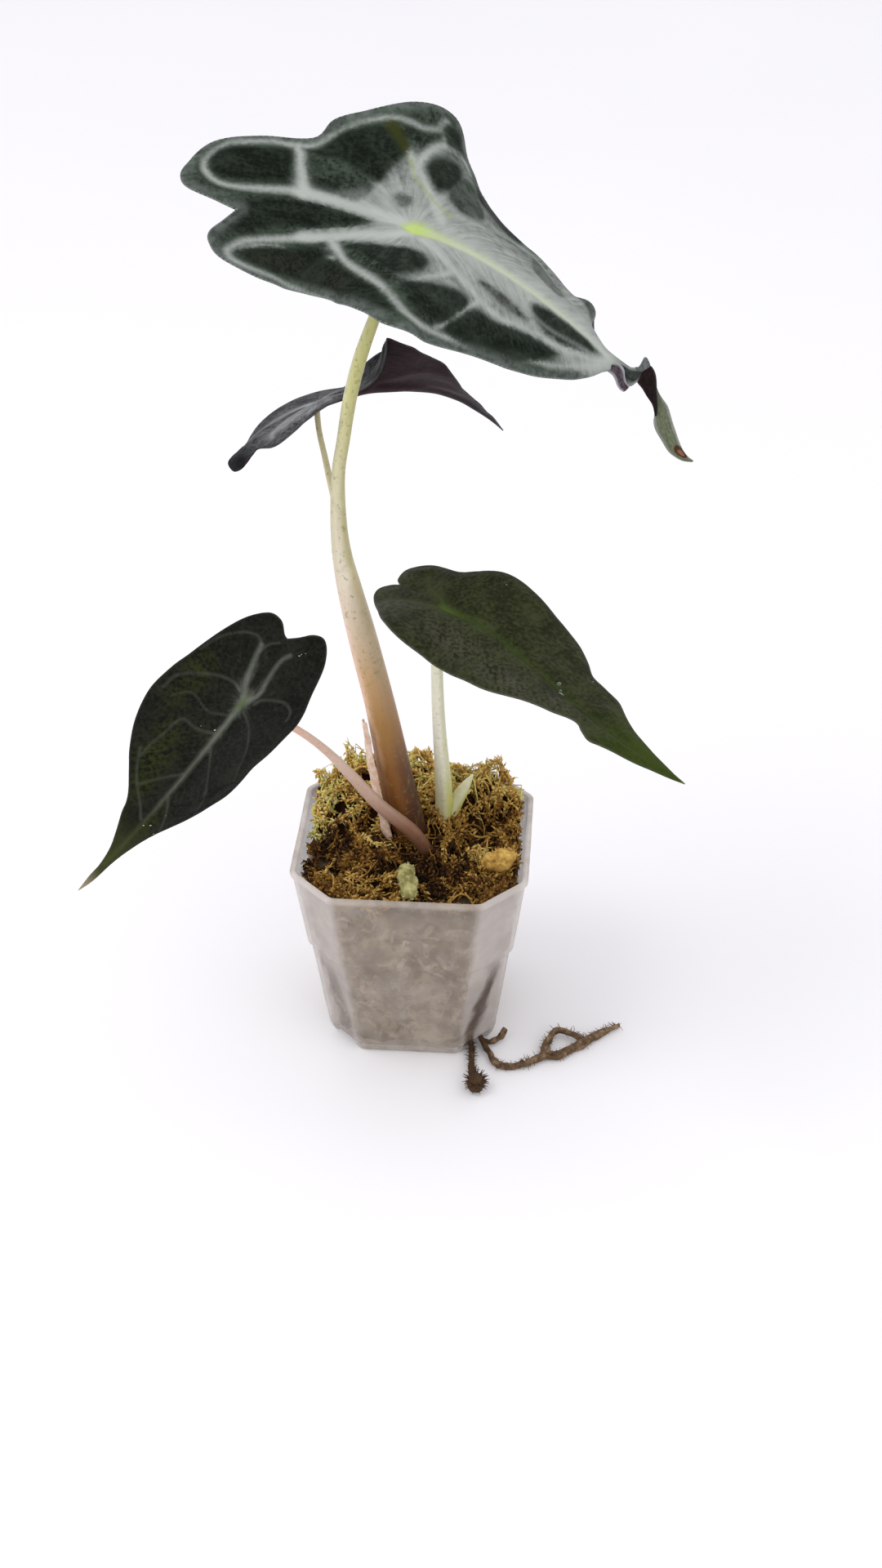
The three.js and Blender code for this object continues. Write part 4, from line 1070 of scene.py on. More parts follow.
# Base, tip, left, right, top and bottom of a small pointed leaf
LEAFLET = np.array([
    [0, 0, 0], [1, 0, 0.05], [0.42, 0.5, 0], [0.42, -0.5, 0], [0.4, 0, 0.2], [0.4, 0, -0.12],
])
LEAFLET_FACES = [[0, 3, 4], [3, 1, 4], [1, 2, 4], [2, 0, 4], [3, 0, 5], [1, 3, 5], [2, 1, 5], [0, 2, 5]]


def leaflets(build, starts, ahead, up, lengths, widths, slot, **values):
    """Many small pointed leaves, each a closed body"""
    starts, ahead, up = (np.asarray(value, float) for value in (starts, ahead, up))
    lengths, widths = np.asarray(lengths, float), np.asarray(widths, float)
    side = unit(np.cross(up, ahead))
    up = np.cross(ahead, side)
    points = starts[:, None, :] + ahead[:, None, :] * (LEAFLET[:, 0] * lengths[:, None])[:, :, None]
    points = points + side[:, None, :] * (LEAFLET[:, 1] * widths[:, None])[:, :, None]
    points = points + up[:, None, :] * (LEAFLET[:, 2] * lengths[:, None])[:, :, None]
    size = len(LEAFLET)
    faces = [[i * size + corner for corner in face] for i in range(len(starts)) for face in LEAFLET_FACES]
    full = {key: np.repeat(np.asarray(value, float), size, axis=0) for key, value in values.items()}
    build.add(points.reshape(-1, 3), faces, slot, **full)


def normals_of(points, faces):
    """Smooth normals of a surface of triangles and quads"""
    quads = np.array([face if len(face) == 4 else face + face[-1:] for face in faces])
    a, b, c, d = (points[quads[:, i]] for i in range(4))
    cross = np.cross(c - a, d - b)
    triangle = quads[:, 2] == quads[:, 3]
    cross[triangle] = np.cross(b[triangle] - a[triangle], c[triangle] - a[triangle])
    normals = np.zeros_like(points)
    for i in range(4):
        np.add.at(normals, quads[:, i], cross)
    return unit(normals)


# Colours of the upper side from dark cell to pale vein, how strong each layer is, colours along the
# midrib, tip colours (from, to, share, colour, speckled), and the underside's colours and tip
LOOKS = {
    "top": dict(
        deep=(10, 15, 8), dark=(24, 32, 24), middle=(60, 71, 60), silver=(148, 153, 149),
        # the top leaf's grey margin band is a painted sheen
        pale=(188, 193, 187), margin=(96, 103, 98), rim=(140, 145, 141), mottle_and_painted_light=(48, 42, 32),
        vein=0.86, faint=0.4, haze=0.95, feather=0.85, band=3.6, soft=1.7, thin=(1.2, -0.9),
        fainter=(0.9, -0.4), line=0.75, roughness=0.55, gloss=0.04,
        net=0.6, netted=0.04, streak=0.9, ragged=2.4,
        rib_end=60, ribs=[
            (0.0, 186, 214, 84), (0.06, 188, 212, 104), (0.11, 188, 204, 144), (0.2, 194, 204, 168),
            (0.62, 196, 202, 178), (0.78, 192, 197, 188), (1.0, 176, 182, 174),
        ],
        tips=[(49, 56, 0.7, (104, 112, 106), False)],
        under=((66, 46, 52), (104, 88, 96), (30, 18, 18), 55, 60),
    ),
    "back": dict(
        deep=(5, 6, 6), dark=(42, 43, 43), middle=(96, 97, 99), silver=(142, 143, 145), pale=(178, 179, 181),
        # the near-black spot colour is partly painted shadow at the notch
        margin=(56, 57, 57), rim=(92, 92, 93), mottle_and_painted_light=(20, 22, 22), vein=0.5, faint=0.4, haze=0.95,
        feather=0.9, band=1.0, soft=0.8, thin=(0.5, -0.4), fainter=(0.5, -0.2), line=0.5, roughness=0.5,
        gloss=0.012, net=0.6, netted=0.1, streak=0.6, ragged=0.4,
        rib_end=61, ribs=[(0.0, 122, 124, 126), (0.5, 112, 113, 117), (1.0, 84, 80, 84)],
        tips=[(-17, -26, 0.85, (20, 21, 23), False)],
        under=((48, 34, 37), (72, 56, 62), (26, 18, 18), 28, 52),
    ),
    "left": dict(
        deep=(12, 12, 8), dark=(14, 14, 10), middle=(31, 32, 26), silver=(86, 90, 80), pale=(124, 128, 118),
        margin=(30, 30, 25), rim=(62, 60, 53), mottle_and_painted_light=(46, 54, 14), vein=0.55, faint=0.32, haze=0.85,
        feather=0.35, band=0.8, soft=1.1, thin=(0.7, -0.4), fainter=(0.5, -0.25), line=0.5, roughness=0.42,
        gloss=0.06, net=0.8, netted=0.04, streak=0.3, ragged=0.0,
        rib_end=55, ribs=[
            (0.0, 84, 104, 44), (0.05, 84, 104, 44), (0.1, 128, 134, 120), (0.45, 110, 114, 98),
            (0.62, 84, 90, 62), (0.8, 84, 88, 46), (1.0, 124, 106, 84),
        ],
        tips=[(30, 48, 0.6, (66, 72, 36), False), (48, 55, 0.9, (160, 148, 124), False)],
        under=((66, 50, 52), (90, 70, 70), (84, 74, 56), 40, 55),
    ),
    "right": dict(
        deep=(20, 23, 9), dark=(29, 32, 15), middle=(58, 61, 38), silver=(54, 66, 30), pale=(66, 84, 38),
        # the right leaf's grey spot colour is a painted sheen
        margin=(54, 56, 43), rim=(92, 92, 76), mottle_and_painted_light=(74, 74, 62), vein=0.6, faint=0.5, haze=0.6,
        feather=0.4, band=0.9, soft=1.1, thin=(0.4, -0.2), fainter=(0.25, -0.15), line=0.4, roughness=0.45,
        gloss=0.06, net=0.7, netted=0.1, streak=0.15, ragged=0.0,
        rib_end=71, ribs=[
            (0.0, 96, 118, 40), (0.05, 90, 110, 38), (0.12, 58, 74, 26), (0.7, 52, 64, 24),
            (1.0, 56, 72, 18),
        ],
        tips=[(42, 62, 1, (54, 68, 16), True), (69.5, 71, 1, (104, 124, 50), False)],
        under=((70, 56, 52), (92, 76, 66), (70, 84, 40), 55, 71),
    ),
}


def tip_colors(g, tips, place, color):
    """Colours laid over the end of the leaf"""
    for start, end, most, tint, speckled in tips:
        share = g.fade(place, start, end, 0, most)
        if speckled:
            speckle = g.noise(1.6, g.attribute("flat", "Vector"), 4, 0.7)
            share = g.times(share, g.fade(speckle, 0.3, 0.62, 0.25, 0.95))
        color = g.mix(share, color, tint)
    return color


def cell_colors(g, look, fine, cloud, streak, cell, wobble):
    """Colour under the veins: mottled ground, fine net, dark cells, spots that are real mottle on some
    leaves and painted light on others, and the margin band, whose grey on the top leaf is a painted sheen
    """
    flat, vein = g.attribute("flat", "Vector"), g.attribute("vein")
    patch = g.add(g.add(fine, g.around(g.noise(0.14, flat, 3), 0.9)), g.around(streak, look["streak"]))
    base = g.mix(g.fade(patch, 0.3, 0.75), look["dark"], look["middle"])
    net = g.node("ShaderNodeTexVoronoi", {"feature": "DISTANCE_TO_EDGE"}, Scale=look["net"], Vector=flat)
    base = g.mix(g.fade(net.outputs["Distance"], 0.14, 0.02, 0, look["netted"]), base, look["silver"])
    deep = g.mix(g.fade(patch, 0.3, 0.8), look["deep"], look["dark"])
    base = g.mix(g.fade(vein, 2.4, 0.2, 0, 0.5), base, look["middle"])
    base = g.mix(g.fade(cell, -0.2, 1.4, 0, 0.75), base, deep)
    mottle = g.fade(g.add(fine, g.around(streak, 0.8)), 0.3, 0.65)
    # spots: painted sheen on the right leaf, painted shadow at the back leaf's notch, real mottle on the top
    # and left leaves
    base = g.mix(g.times(g.attribute("mottle_and_painted_light"), mottle), base, look["mottle_and_painted_light"])
    # margin band: on the top leaf its grey is a painted sheen
    edge = g.add(g.attribute("edge"), g.times(wobble, 0.5))
    fringe = g.times(g.fade(edge, look["band"], 0.3, 0, 0.9), g.fade(cloud, 0.38, 0.6, 0.3, 1))
    base = g.mix(fringe, base, look["margin"])
    olive = g.times(g.fade(g.add(g.attribute("olive"), wobble), 0.8, -1.2), 0.85)
    return g.mix(olive, base, (54, 58, 22))


def wet_film(g, fine, color):
    """Colour under a wet film, lightened inside as a painted sheen, with a dark line at its edge, and where
    the film is
    """
    film = g.add(g.attribute("film"), g.around(fine, 2.2))
    wet = g.fade(film, 0.1, -0.1)
    line = g.times(g.fade(g.math("ABSOLUTE", film), 0.28, 0.1), 0.85)
    # painted sheen: the inside of the film is made lighter
    color = g.mix(g.times(wet, 0.25), color, (30, 32, 28))
    return g.mix(line, color, (12, 12, 11)), wet


def leaf_upper(name):
    """Material of a leaf's upper side, from its cells up to the midrib, tip and wet film"""
    look = LOOKS[name]
    g = Graph("leaf_" + name + "_upper")
    flat, grain = g.attribute("flat", "Vector"), g.attribute("grain", "Vector")
    place = g.axis(flat, 0)
    fine = g.noise(1.1, flat, 4)
    cloud = g.noise(0.4, flat, 5, 0.65)
    streak = g.noise(0.9, grain, 4, 0.6)
    thread = g.noise(2.8, grain, 3, 0.6)
    feather = look["feather"]
    wobble = g.add(g.around(streak, 1.7 * feather), g.around(fine, 1.3 * feather))
    vein = g.times(g.fade(g.add(g.attribute("vein"), wobble), *look["thin"]), look["vein"])
    faint = g.add(g.attribute("faint"), g.times(wobble, 0.4))
    faint = g.times(g.fade(faint, *look["fainter"]), look["faint"])
    haze = g.add(g.attribute("haze"), g.add(g.around(thread, 0.15), g.around(streak, 0.6)))
    haze = g.add(haze, g.around(cloud, 0.9))
    haze = g.times(g.fade(haze, 0.05, 1.05), look["haze"])
    cell = g.add(g.attribute("cell"), g.add(wobble, g.around(cloud, look["ragged"])))
    clear = g.less(1.0, g.fade(cell, -1.2, 1.1, 0, 0.97))
    base = cell_colors(g, look, fine, cloud, streak, cell, wobble)
    share = g.either(g.times(g.either(vein, haze), clear), faint)
    share = g.times(share, g.fade(g.noise(5.0, flat, 2), 0.2, 0.5, 0.88, 1))
    bright = g.either(g.fade(streak, 0.35, 0.75, 0, 0.4), g.fade(g.attribute("vein"), 1.6, -0.6, 0, 0.5))
    bright = g.either(bright, g.fade(g.attribute("rib"), 5, 0, 0, 0.4))
    color = g.mix(share, base, g.mix(bright, look["silver"], look["pale"]))
    gold = g.fade(g.add(g.attribute("gold"), g.times(wobble, 0.3)), 0.6, -0.4)
    color = g.mix(g.times(gold, 0.5), color, (146, 160, 84))
    color = g.mix(g.fade(g.attribute("edge"), 0.45, 0.1, 0, 0.8), color, look["rim"])
    rib = g.add(g.attribute("rib"), g.times(wobble, 0.45))
    rib_color = g.ramp(g.line(place, -2, look["rib_end"]), look["ribs"])
    color = g.mix(g.fade(rib, look["soft"], -0.5, 0, look["line"]), color, rib_color)
    color, wet = wet_film(g, fine, tip_colors(g, look["tips"], place, color))
    rough = g.fade(g.noise(0.5, flat, 4), 0.3, 0.7, look["roughness"] - 0.07, look["roughness"] + 0.07)
    rough = g.less(rough, g.times(wet, 0.28))
    height = g.add(g.times(fine, 0.5), g.times(thread, 0.5))
    return g.finish(color, rough, g.bump(height, 0.3, 0.00025), {"Specular IOR Level": look["gloss"]})


def leaf_under(name):
    """Material of a leaf's underside, darker between its veins"""
    color, vein_color, tip_color, tip_start, tip_end = LOOKS[name]["under"]
    g = Graph("leaf_" + name + "_under")
    flat = g.attribute("flat", "Vector")
    fine = g.noise(0.9, flat, 5)
    thread = g.noise(1.6, g.attribute("grain", "Vector"), 4)
    share = g.fade(g.add(g.attribute("vein"), g.around(fine, 0.8)), 0.7, -0.3, 0, 0.4)
    share = g.either(share, g.fade(g.attribute("rib"), 0.7, -0.3, 0, 0.45), g.fade(thread, 0.5, 0.8, 0, 0.3))
    dark = tuple(0.6 * part for part in rgb(*color)[:3]) + (1,)
    base = g.mix(g.fade(fine, 0.3, 0.75), dark, color)
    base = g.mix(g.fade(g.axis(flat, 0), tip_start, tip_end), base, tip_color)
    base = g.mix(share, base, vein_color)
    base = g.mix(g.fade(g.attribute("edge"), 0.5, 0.1, 0, 0.5), base, vein_color)
    return g.finish(base, 0.55, g.bump(fine, 0.3, 0.0003), {"Specular IOR Level": 0.08})


def fleck_material():
    g = Graph("leaf_flecks")
    return g.finish(g.mix(g.noise(2500, g.place(), 3), (176, 158, 128), (228, 226, 216)), 0.6)


def drop_material():
    # painted highlight: the clear drops are coloured near white, more opaque towards their rims
    g = Graph("leaf_drops")
    edge = g.node("ShaderNodeLayerWeight", Blend=0.4).outputs["Facing"]
    alpha = g.fade(edge, 0.1, 0.9, 0.12, 0.6)
    color = g.mix(g.noise(900, g.place(), 2), (196, 204, 196), (236, 240, 236))
    return g.finish(color, 0.06, None, {"Alpha": alpha, "Specular IOR Level": 0.6})


# Stems: rows are x, y, z, radius
PETIOLES = {
    "top": [
        [0, 4, 47, 3.4], [-1, 3.4, 52, 4.1], [-3.4, 2.4, 63, 4.3], [-5.9, 1.5, 78, 4], [-8.4, 1, 93, 3.6],
        [-11.8, 0.3, 110, 3.4], [-14.6, 0, 124, 2.9], [-16.4, 0, 135, 2.2], [-16.9, 0, 145, 1.8],
        [-16.6, 0.2, 155, 1.55], [-15.3, 0.5, 163, 1.5], [-13.6, 1, 173, 1.55], [-11, 1, 183, 1.5],
        [-7.4, 1.5, 193, 1.3], [-2.8, 2, 204, 1.25], [-0.2, 2.2, 210, 1.5],
    ],
    "back": [
        [-16.9, 0, 138, 0.7], [-17.4, 0.6, 145, 0.75], [-18.8, 2.4, 151, 0.75], [-20.2, 5.4, 155.6, 0.7],
        [-21.9, 9.2, 160.7, 0.65], [-22.8, 12.8, 165.1, 0.7],
    ],
    "left": [
        [6.4, 0.6, 40, 1.6], [1, -3.4, 56, 1.85], [-8, -7, 68, 1.65], [-14, -13.5, 81, 1.35],
        [-18.5, -24, 95, 1], [-22.8, -38.5, 110, 0.85], [-27.2, -50.5, 121, 0.8], [-29.9, -57.3, 128, 0.7],
    ],
    "right": [
        [5.6, 7.8, 47, 1.8], [6.8, 9.4, 53, 2.4], [6.8, 8.2, 64, 2.1], [6.2, 4, 81, 1.7],
        [6.1, -2.5, 97, 1.5], [6.4, -8.6, 111, 1.4], [7.3, -14.4, 122.5, 1.3], [8.8, -19.4, 130.4, 1.5],
    ],
}
# Short sheath that splits off the right stem
PRONG = [[7.4, 9.6, 50, 1.8], [9.4, 10, 57, 1.9], [12, 10.2, 62.5, 1.4], [14, 10.2, 66.5, 0.3]]
# Colours of the stems from the foot to the leaf: share of the height, then red, green and blue
SHEATH = [
    (0.0, 96, 56, 26), (0.06, 118, 72, 32), (0.17, 134, 86, 38), (0.25, 164, 120, 64), (0.33, 196, 160, 114),
    (0.4, 212, 190, 160), (0.5, 232, 222, 202), (0.62, 224, 217, 186), (0.78, 206, 204, 142),
    (1.0, 206, 208, 128),
]
# left side of the sheath: a painted highlight
SHEATH_LEFT_HIGHLIGHT = [
    (0.0, 150, 100, 60), (0.1, 186, 142, 100), (0.2, 214, 182, 146), (0.33, 228, 184, 154),
    (0.42, 230, 204, 184), (0.55, 214, 208, 178), (1.0, 212, 212, 150),
]
# right side of the sheath: painted shade, with a dark brown streak near the foot
SHEATH_RIGHT_SHADE_AND_STREAK = [
    (0.0, 64, 36, 24), (0.1, 76, 46, 32), (0.17, 96, 62, 38), (0.25, 156, 116, 76), (0.4, 190, 172, 140),
    (0.6, 196, 190, 142), (1.0, 188, 188, 112),
]
PALE = [(0.0, 232, 224, 186), (1.0, 226, 220, 172)]
PINK = [
    (0.0, 96, 62, 40), (0.16, 140, 100, 76), (0.3, 198, 166, 148), (0.5, 216, 190, 172),
    (1.0, 222, 176, 152),
]
LIME = [(0.0, 180, 178, 116), (0.12, 220, 218, 176), (0.4, 246, 244, 226), (1.0, 224, 224, 198)]
LIME_SIDE = [(0.0, 186, 186, 84), (0.15, 204, 204, 112), (0.3, 210, 210, 176), (1.0, 190, 192, 158)]


def stem(name, material, sides=32):
    """Stem with fine ridges; the top one has a sheath, and the right one a prong"""
    rows = through(PETIOLES[name], 10)
    places, radii = rows[:, :3], rows[:, 3]
    share = np.linspace(0, 1, len(rows))
    angles = turns(sides)
    ridges = 1 + 0.02 * np.cos(angles * 5)[None, :] + 0.015 * np.cos(angles * 9 + share[:, None] * 3)
    full = radii[:, None] * ridges
    if name == "top":
        # the sheath wraps the lower stem, and its free edge runs up the right side
        wrap = smoothstep(places[:, 2], 134, 112) * smoothstep(places[:, 2], 48, 60)
        turn = ((angles[None, :] - 1.2 - share[:, None]) % (2 * math.pi)) / (2 * math.pi)
        full = full + wrap[:, None] * (0.55 * turn - 0.2)
    build = Build()
    stem_tube(build, places, full, sides)
    if name == "right":
        prong = through(PRONG, 8)
        stem_tube(build, prong[:, :3], np.repeat(prong[:, 3:], 16, axis=1), 16)
    made = build.object("stem_" + name, [material])
    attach(made, "root")
    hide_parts("petiole_" + name)


def stem_tube(build, places, radii, sides):
    """A tube whose points know their height and which side of the stem they are on, -1 left to 1 right"""
    points, faces = tube(places, radii, sides)
    middle = np.vstack([np.repeat(places, sides, axis=0), places[0], places[-1]])
    out = points - middle
    side = out[:, 0] / np.maximum(np.linalg.norm(out, axis=1), 1e-6)
    build.add(points, faces, side=side, height=points[:, 2])


def stem_material(name, middle, left, right, low, high, speck, speck_amount=0.5):
    """Stops run from the foot at height low to the leaf at height high, for the middle and for both sides"""
    g = Graph(name)
    place = g.place()
    share = g.line(g.attribute("height"), low, high)
    side = g.add(g.attribute("side"), g.around(g.noise(260, place, 3), 0.5))
    base = g.ramp(share, middle)
    base = g.mix(g.fade(side, -0.15, -0.95), base, g.ramp(share, left))
    base = g.mix(g.fade(side, 0.1, 0.85), base, g.ramp(share, right))
    lines = g.noise(1.0, g.stretch(place, (2600, 2600, 160)), 3)
    base = g.mix(g.fade(lines, 0.35, 0.75, 0, 0.2), base, g.mix(1.0, base, (0.7, 0.66, 0.55, 1), "MULTIPLY"))
    blotch = g.fade(g.noise(330, place, 3, 0.6), 0.52, 0.7, 0, 0.3)
    base = g.mix(g.times(blotch, speck_amount), base, speck)
    spots = g.fade(g.noise(1000, place, 2), 0.58, 0.7)
    base = g.mix(g.times(spots, speck_amount), base, speck)
    depth = {"Subsurface Weight": 0.12, "Subsurface Radius": (0.004, 0.003, 0.0015), "Subsurface Scale": 0.3}
    return g.finish(base, 0.45, g.bump(lines, 0.4, 0.0002), {"Specular IOR Level": 0.3, **depth})


# Pot
def pot_section(height):
    """Width and corner cut of the pot's outside at a height, below the rim's lip"""
    share = height / POT_HEIGHT
    above_step = float(smoothstep(np.array(height), STEP_HEIGHT - 0.7, STEP_HEIGHT + 0.5))
    step_in = STEP_DEPTH * min(1, height / 6) * (1 - above_step)
    rounding = float(along(FOOT_ROUNDING, min(height, FOOT_ROUNDING[-1][0]))[0, 0])
    move_in = step_in + rounding
    return (
        FOOT_WIDTH + (RIM_WIDTH - FOOT_WIDTH) * share - 2 * move_in,
        FOOT_CHAMFER + (RIM_CHAMFER - FOOT_CHAMFER) * share - move_in * CHAMFER_SHARE,
    )


def pot_ring(height, inset, at=None):
    """Square with cut and rounded corners as a ring of points"""
    width, chamfer = pot_section(height)
    width -= 2 * inset
    chamfer -= inset * CHAMFER_SHARE
    half = width / 2
    flat = half - chamfer
    corners = np.array([
        [-flat, -half], [flat, -half], [half, -flat], [half, flat],
        [flat, half], [-flat, half], [-half, flat], [-half, -flat],
    ])
    setback = CORNER_RADIUS * math.tan(math.radians(22.5))
    points = []
    for i, corner in enumerate(corners):
        back = unit(corners[i - 1] - corner)
        ahead = unit(corners[(i + 1) % 8] - corner)
        start, end = corner + back * setback, corner + ahead * setback
        for share in np.linspace(0, 1, CORNER_POINTS):
            points.append((1 - share) ** 2 * start + 2 * share * (1 - share) * corner + share**2 * end)
        following = corners[(i + 1) % 8] - ahead * setback
        for share in np.arange(1, SIDE_STEPS) / SIDE_STEPS:
            points.append(end + (following - end) * share)
    points = np.array(points)
    return np.column_stack([points, np.full(len(points), height if at is None else at)])


def pot_rings():
    """Rings of points up the outside, over the rim, and down the inside to the floor"""
    lip = POT_HEIGHT - 1.6
    rings = [pot_ring(height, 0) for height in POT_LEVELS]
    rings += [pot_ring(lip, -RIM_LIP * 0.7), pot_ring(lip + 0.3, -RIM_LIP)]
    rings += [pot_ring(POT_HEIGHT - 0.3, -RIM_LIP), pot_ring(POT_HEIGHT, -RIM_LIP + 0.25)]
    rings += [pot_ring(POT_HEIGHT, WALL - 0.25), pot_ring(POT_HEIGHT - 0.3, WALL)]
    rings += [pot_ring(height, WALL) for height in reversed(POT_LEVELS[4:])]
    rings.append(pot_ring(FLOOR + 0.4, WALL + 0.3, FLOOR + 0.3))
    rings.append(pot_ring(FLOOR + 0.4, WALL + 1.2, FLOOR))
    return rings


def slot_cutters():
    """Boxes that cut the drain slots out of the four lower corners"""
    build = Build()
    box = [[0, 1, 3, 2], [4, 6, 7, 5], [0, 4, 5, 1], [2, 3, 7, 6], [0, 2, 6, 4], [1, 5, 7, 3]]
    for angle in (45, 135, 225, 315):
        turn = math.radians(angle)
        out = direction(turn)
        wide = np.array([-math.sin(turn), math.cos(turn), 0])
        near = out * (FOOT_WIDTH / 2 + 0.2)
        corners = []
        for reach in (0, 8):
            for hand in (-0.5, 0.5):
                for height in (-1, SLOT_HEIGHT):
                    corners.append(near + out * reach + wide * hand * SLOT_WIDTH + np.array([0, 0, height]))
        build.add(corners, box)
    return build.object("slot_cutter", [])


def pot(material):
    """Clear pot with a rim, a step and drain slots"""
    rings = pot_rings()
    points = np.vstack(rings + [[0, 0, 0], [0, 0, FLOOR]])
    wave = 0.12 * noise_at(points, 0.08, 5) * smoothstep(points[:, 2], 3, 12)
    outward = unit(np.column_stack([points[:, :2], np.zeros(len(points))]))
    build = Build()
    build.add(points + outward * wave[:, None], ring_faces(len(rings), len(rings[0])))
    made = build.object("pot_shell", [material])
    cutter = slot_cutters()
    cut = made.modifiers.new("slots", "BOOLEAN")
    cut.operation = "DIFFERENCE"
    cut.object = cutter
    cut.solver = "EXACT"
    apply_modifiers(made)
    bpy.data.objects.remove(cutter)
    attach(made, "root")
    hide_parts("pot")


def apply_modifiers(made):
    """The object's mesh becomes the one that its modifiers make"""
    graph = bpy.context.evaluated_depsgraph_get()
    mesh = bpy.data.meshes.new_from_object(made.evaluated_get(graph))
    made.modifiers.clear()
    made.data = mesh


def pot_material():
    g = Graph("clear_plastic")
    place = g.place()
    split = g.node("ShaderNodeSeparateXYZ", Vector=place)
    wide = g.math("ABSOLUTE", split.outputs[0])
    deep = g.math("ABSOLUTE", split.outputs[1])
    # the share of both widths tells the cut corners from the flat sides
    wider = g.math("MAXIMUM", g.math("MAXIMUM", wide, deep), 0.001)
    corner = g.fade(g.math("DIVIDE", g.add(wide, deep), wider), 1.56, 1.68)
    cloud = g.noise(70, place, 4, 0.6)
    scuff = g.noise(260, place, 4, 0.65)
    facing = g.fade(g.node("ShaderNodeLayerWeight", Blend=0.3).outputs["Facing"], 0.4, 0.98)
    height = split.outputs[2]
    foot = g.fade(height, 4 * MM, 0.5 * MM, 0, 0.2)
    rim = g.fade(height, (POT_HEIGHT - 2.5) * MM, (POT_HEIGHT - 0.5) * MM, 0, 0.25)
    alpha = g.add(g.fade(cloud, 0.3, 0.75, 0.3, 0.46), g.times(facing, 0.16))
    alpha = g.add(alpha, g.times(corner, g.fade(height, 0.0, 0.05, -0.04, 0.16)))
    alpha = g.math("ADD", alpha, g.add(foot, rim), clamp=True)
    color = g.mix(g.fade(scuff, 0.3, 0.7), (170, 156, 142), (200, 189, 176))
    color = g.mix(foot, color, (120, 96, 78))
    # painted highlight: whitish bands down the cut corners, with the same pale colour along the rim
    color = g.mix(g.times(g.math("MAXIMUM", corner, rim), 0.7), color, (224, 216, 212))
    # roots pressed into the near cut corners
    lean = g.math("MULTIPLY_ADD", height, 0.22, 0.0152)
    low = g.times(g.fade(height, 0.032, 0.02), g.fade(split.outputs[1], -0.009, -0.013))
    gap = g.add(g.less(wide, lean), g.around(cloud, 0.009))
    root = g.times(g.fade(g.math("ABSOLUTE", gap), 0.0026, 0.0006), low)
    root = g.times(root, g.fade(split.outputs[0], -0.01, 0.01, 0.4, 0.85))
    color = g.mix(root, color, (84, 60, 44))
    rough = g.fade(cloud, 0.3, 0.7, 0.35, 0.5)
    return g.finish(color, rough, g.bump(scuff, 0.1, 0.0002), {"Alpha": alpha, "Specular IOR Level": 0.25})


# Moss
# Where the moss is dark or pale: x, y, reach and tint from 0 dark brown through ochre to 1 cream
MOSS_ZONES = [
    (-18, 20, 6, 0.68), (-22, 8, 4, 0.9), (-23, -6, 6, 0.06), (-12, -13, 3.5, 0.6), (-4, -19, 3.5, 0.55),
    (6, -9, 6, 0.0), (-4, -11, 5, 0.0), (19, 6, 3.5, 0.0), (17, 19, 6, 0.56), (10, 24, 4, 0.85),
    (20, -20, 6, 0.24), (0, 22, 6, 0.6), (25, 0, 5, 0.25), (-9, 9, 5, 0.45), (14, -3, 2.5, 0.8),
    (-27, -1, 4, 0.06), (-17, -20, 5, 0.3), (10, 8, 5, 0.3), (-20, 14, 4, 0.6), (8, -20, 5, 0.03),
    (-12, 16, 3, 0.2), (12, 14, 3, 0.15), (-14, 3, 3, 0.7), (26, 12, 4, 0.3), (-4, -24, 3, 0.1),
]
TINTS = [
    (0.0, 38, 21, 8), (0.15, 88, 56, 22), (0.32, 154, 112, 48), (0.5, 206, 168, 88), (0.65, 232, 206, 128),
    (0.8, 206, 202, 112), (0.92, 222, 222, 152), (1.0, 236, 226, 196),
]
# Mounds and hollows in the top of the moss: x, y, spread and height
MOUNDS = [(-15, 18, 120, 3), (8, -12, 40, -2), (-9, -3, 26, 3.2), (19, 6, 9, -3)]


def moss_height(x, y):
    """Height of the uneven top of the moss, which rises towards the back"""
    waves = np.sin(x * 0.31 + 1.3) * np.cos(y * 0.27 - 0.4) + 0.7 * np.sin(x * 0.63 - y * 0.52 + 2)
    height = MOSS_LEVEL + 7.5 * smoothstep(y, -6, 24) + 1.5 * waves
    for mound_x, mound_y, spread, rise in MOUNDS:
        height = height + rise * np.exp(-((x - mound_x) ** 2 + (y - mound_y) ** 2) / spread)
    return height


def moss_tint(x, y):
    """How dark or pale the moss is at a place"""
    total, value = 0.1, 0.035
    for zone_x, zone_y, reach, tint in MOSS_ZONES:
        weight = math.exp(-((x - zone_x) ** 2 + (y - zone_y) ** 2) / reach**2)
        total += weight
        value += weight * tint
    return value / total


def inside_pot(x, y, room, height=POT_HEIGHT):
    """How far a point is inside the pot's inner wall, with room left beside it"""
    width, chamfer = pot_section(min(height, POT_HEIGHT))
    half = width / 2 - WALL - room
    corner = (2 * half - (chamfer - (WALL + room) * CHAMFER_SHARE)) / math.sqrt(2)
    x, y = np.abs(x), np.abs(y)
    return np.minimum(np.minimum(half - x, half - y), corner - (x + y) / math.sqrt(2))


def wander(chance, x, y, length, lift, room=1.0):
    """Route of a strand that lies on the moss, turns as it goes and stays in the pot"""
    heading = chance.uniform(0, 2 * math.pi)
    curve = chance.uniform(-0.35, 0.35)
    route = []
    for step in range(STRAND_STEPS + 1):
        share = step / STRAND_STEPS
        height = float(moss_height(x, y)) - 0.9 + lift * math.sin(share * math.pi * 0.8)
        route.append([x, y, height + chance.uniform(-0.25, 0.25)])
        x += length / STRAND_STEPS * math.cos(heading)
        y += length / STRAND_STEPS * math.sin(heading)
        heading += curve + chance.uniform(-0.25, 0.25)
        if inside_pot(x, y, room) < 0:
            heading += math.pi * 0.6
            x, y = x * 0.93, y * 0.93
    return np.array(route)


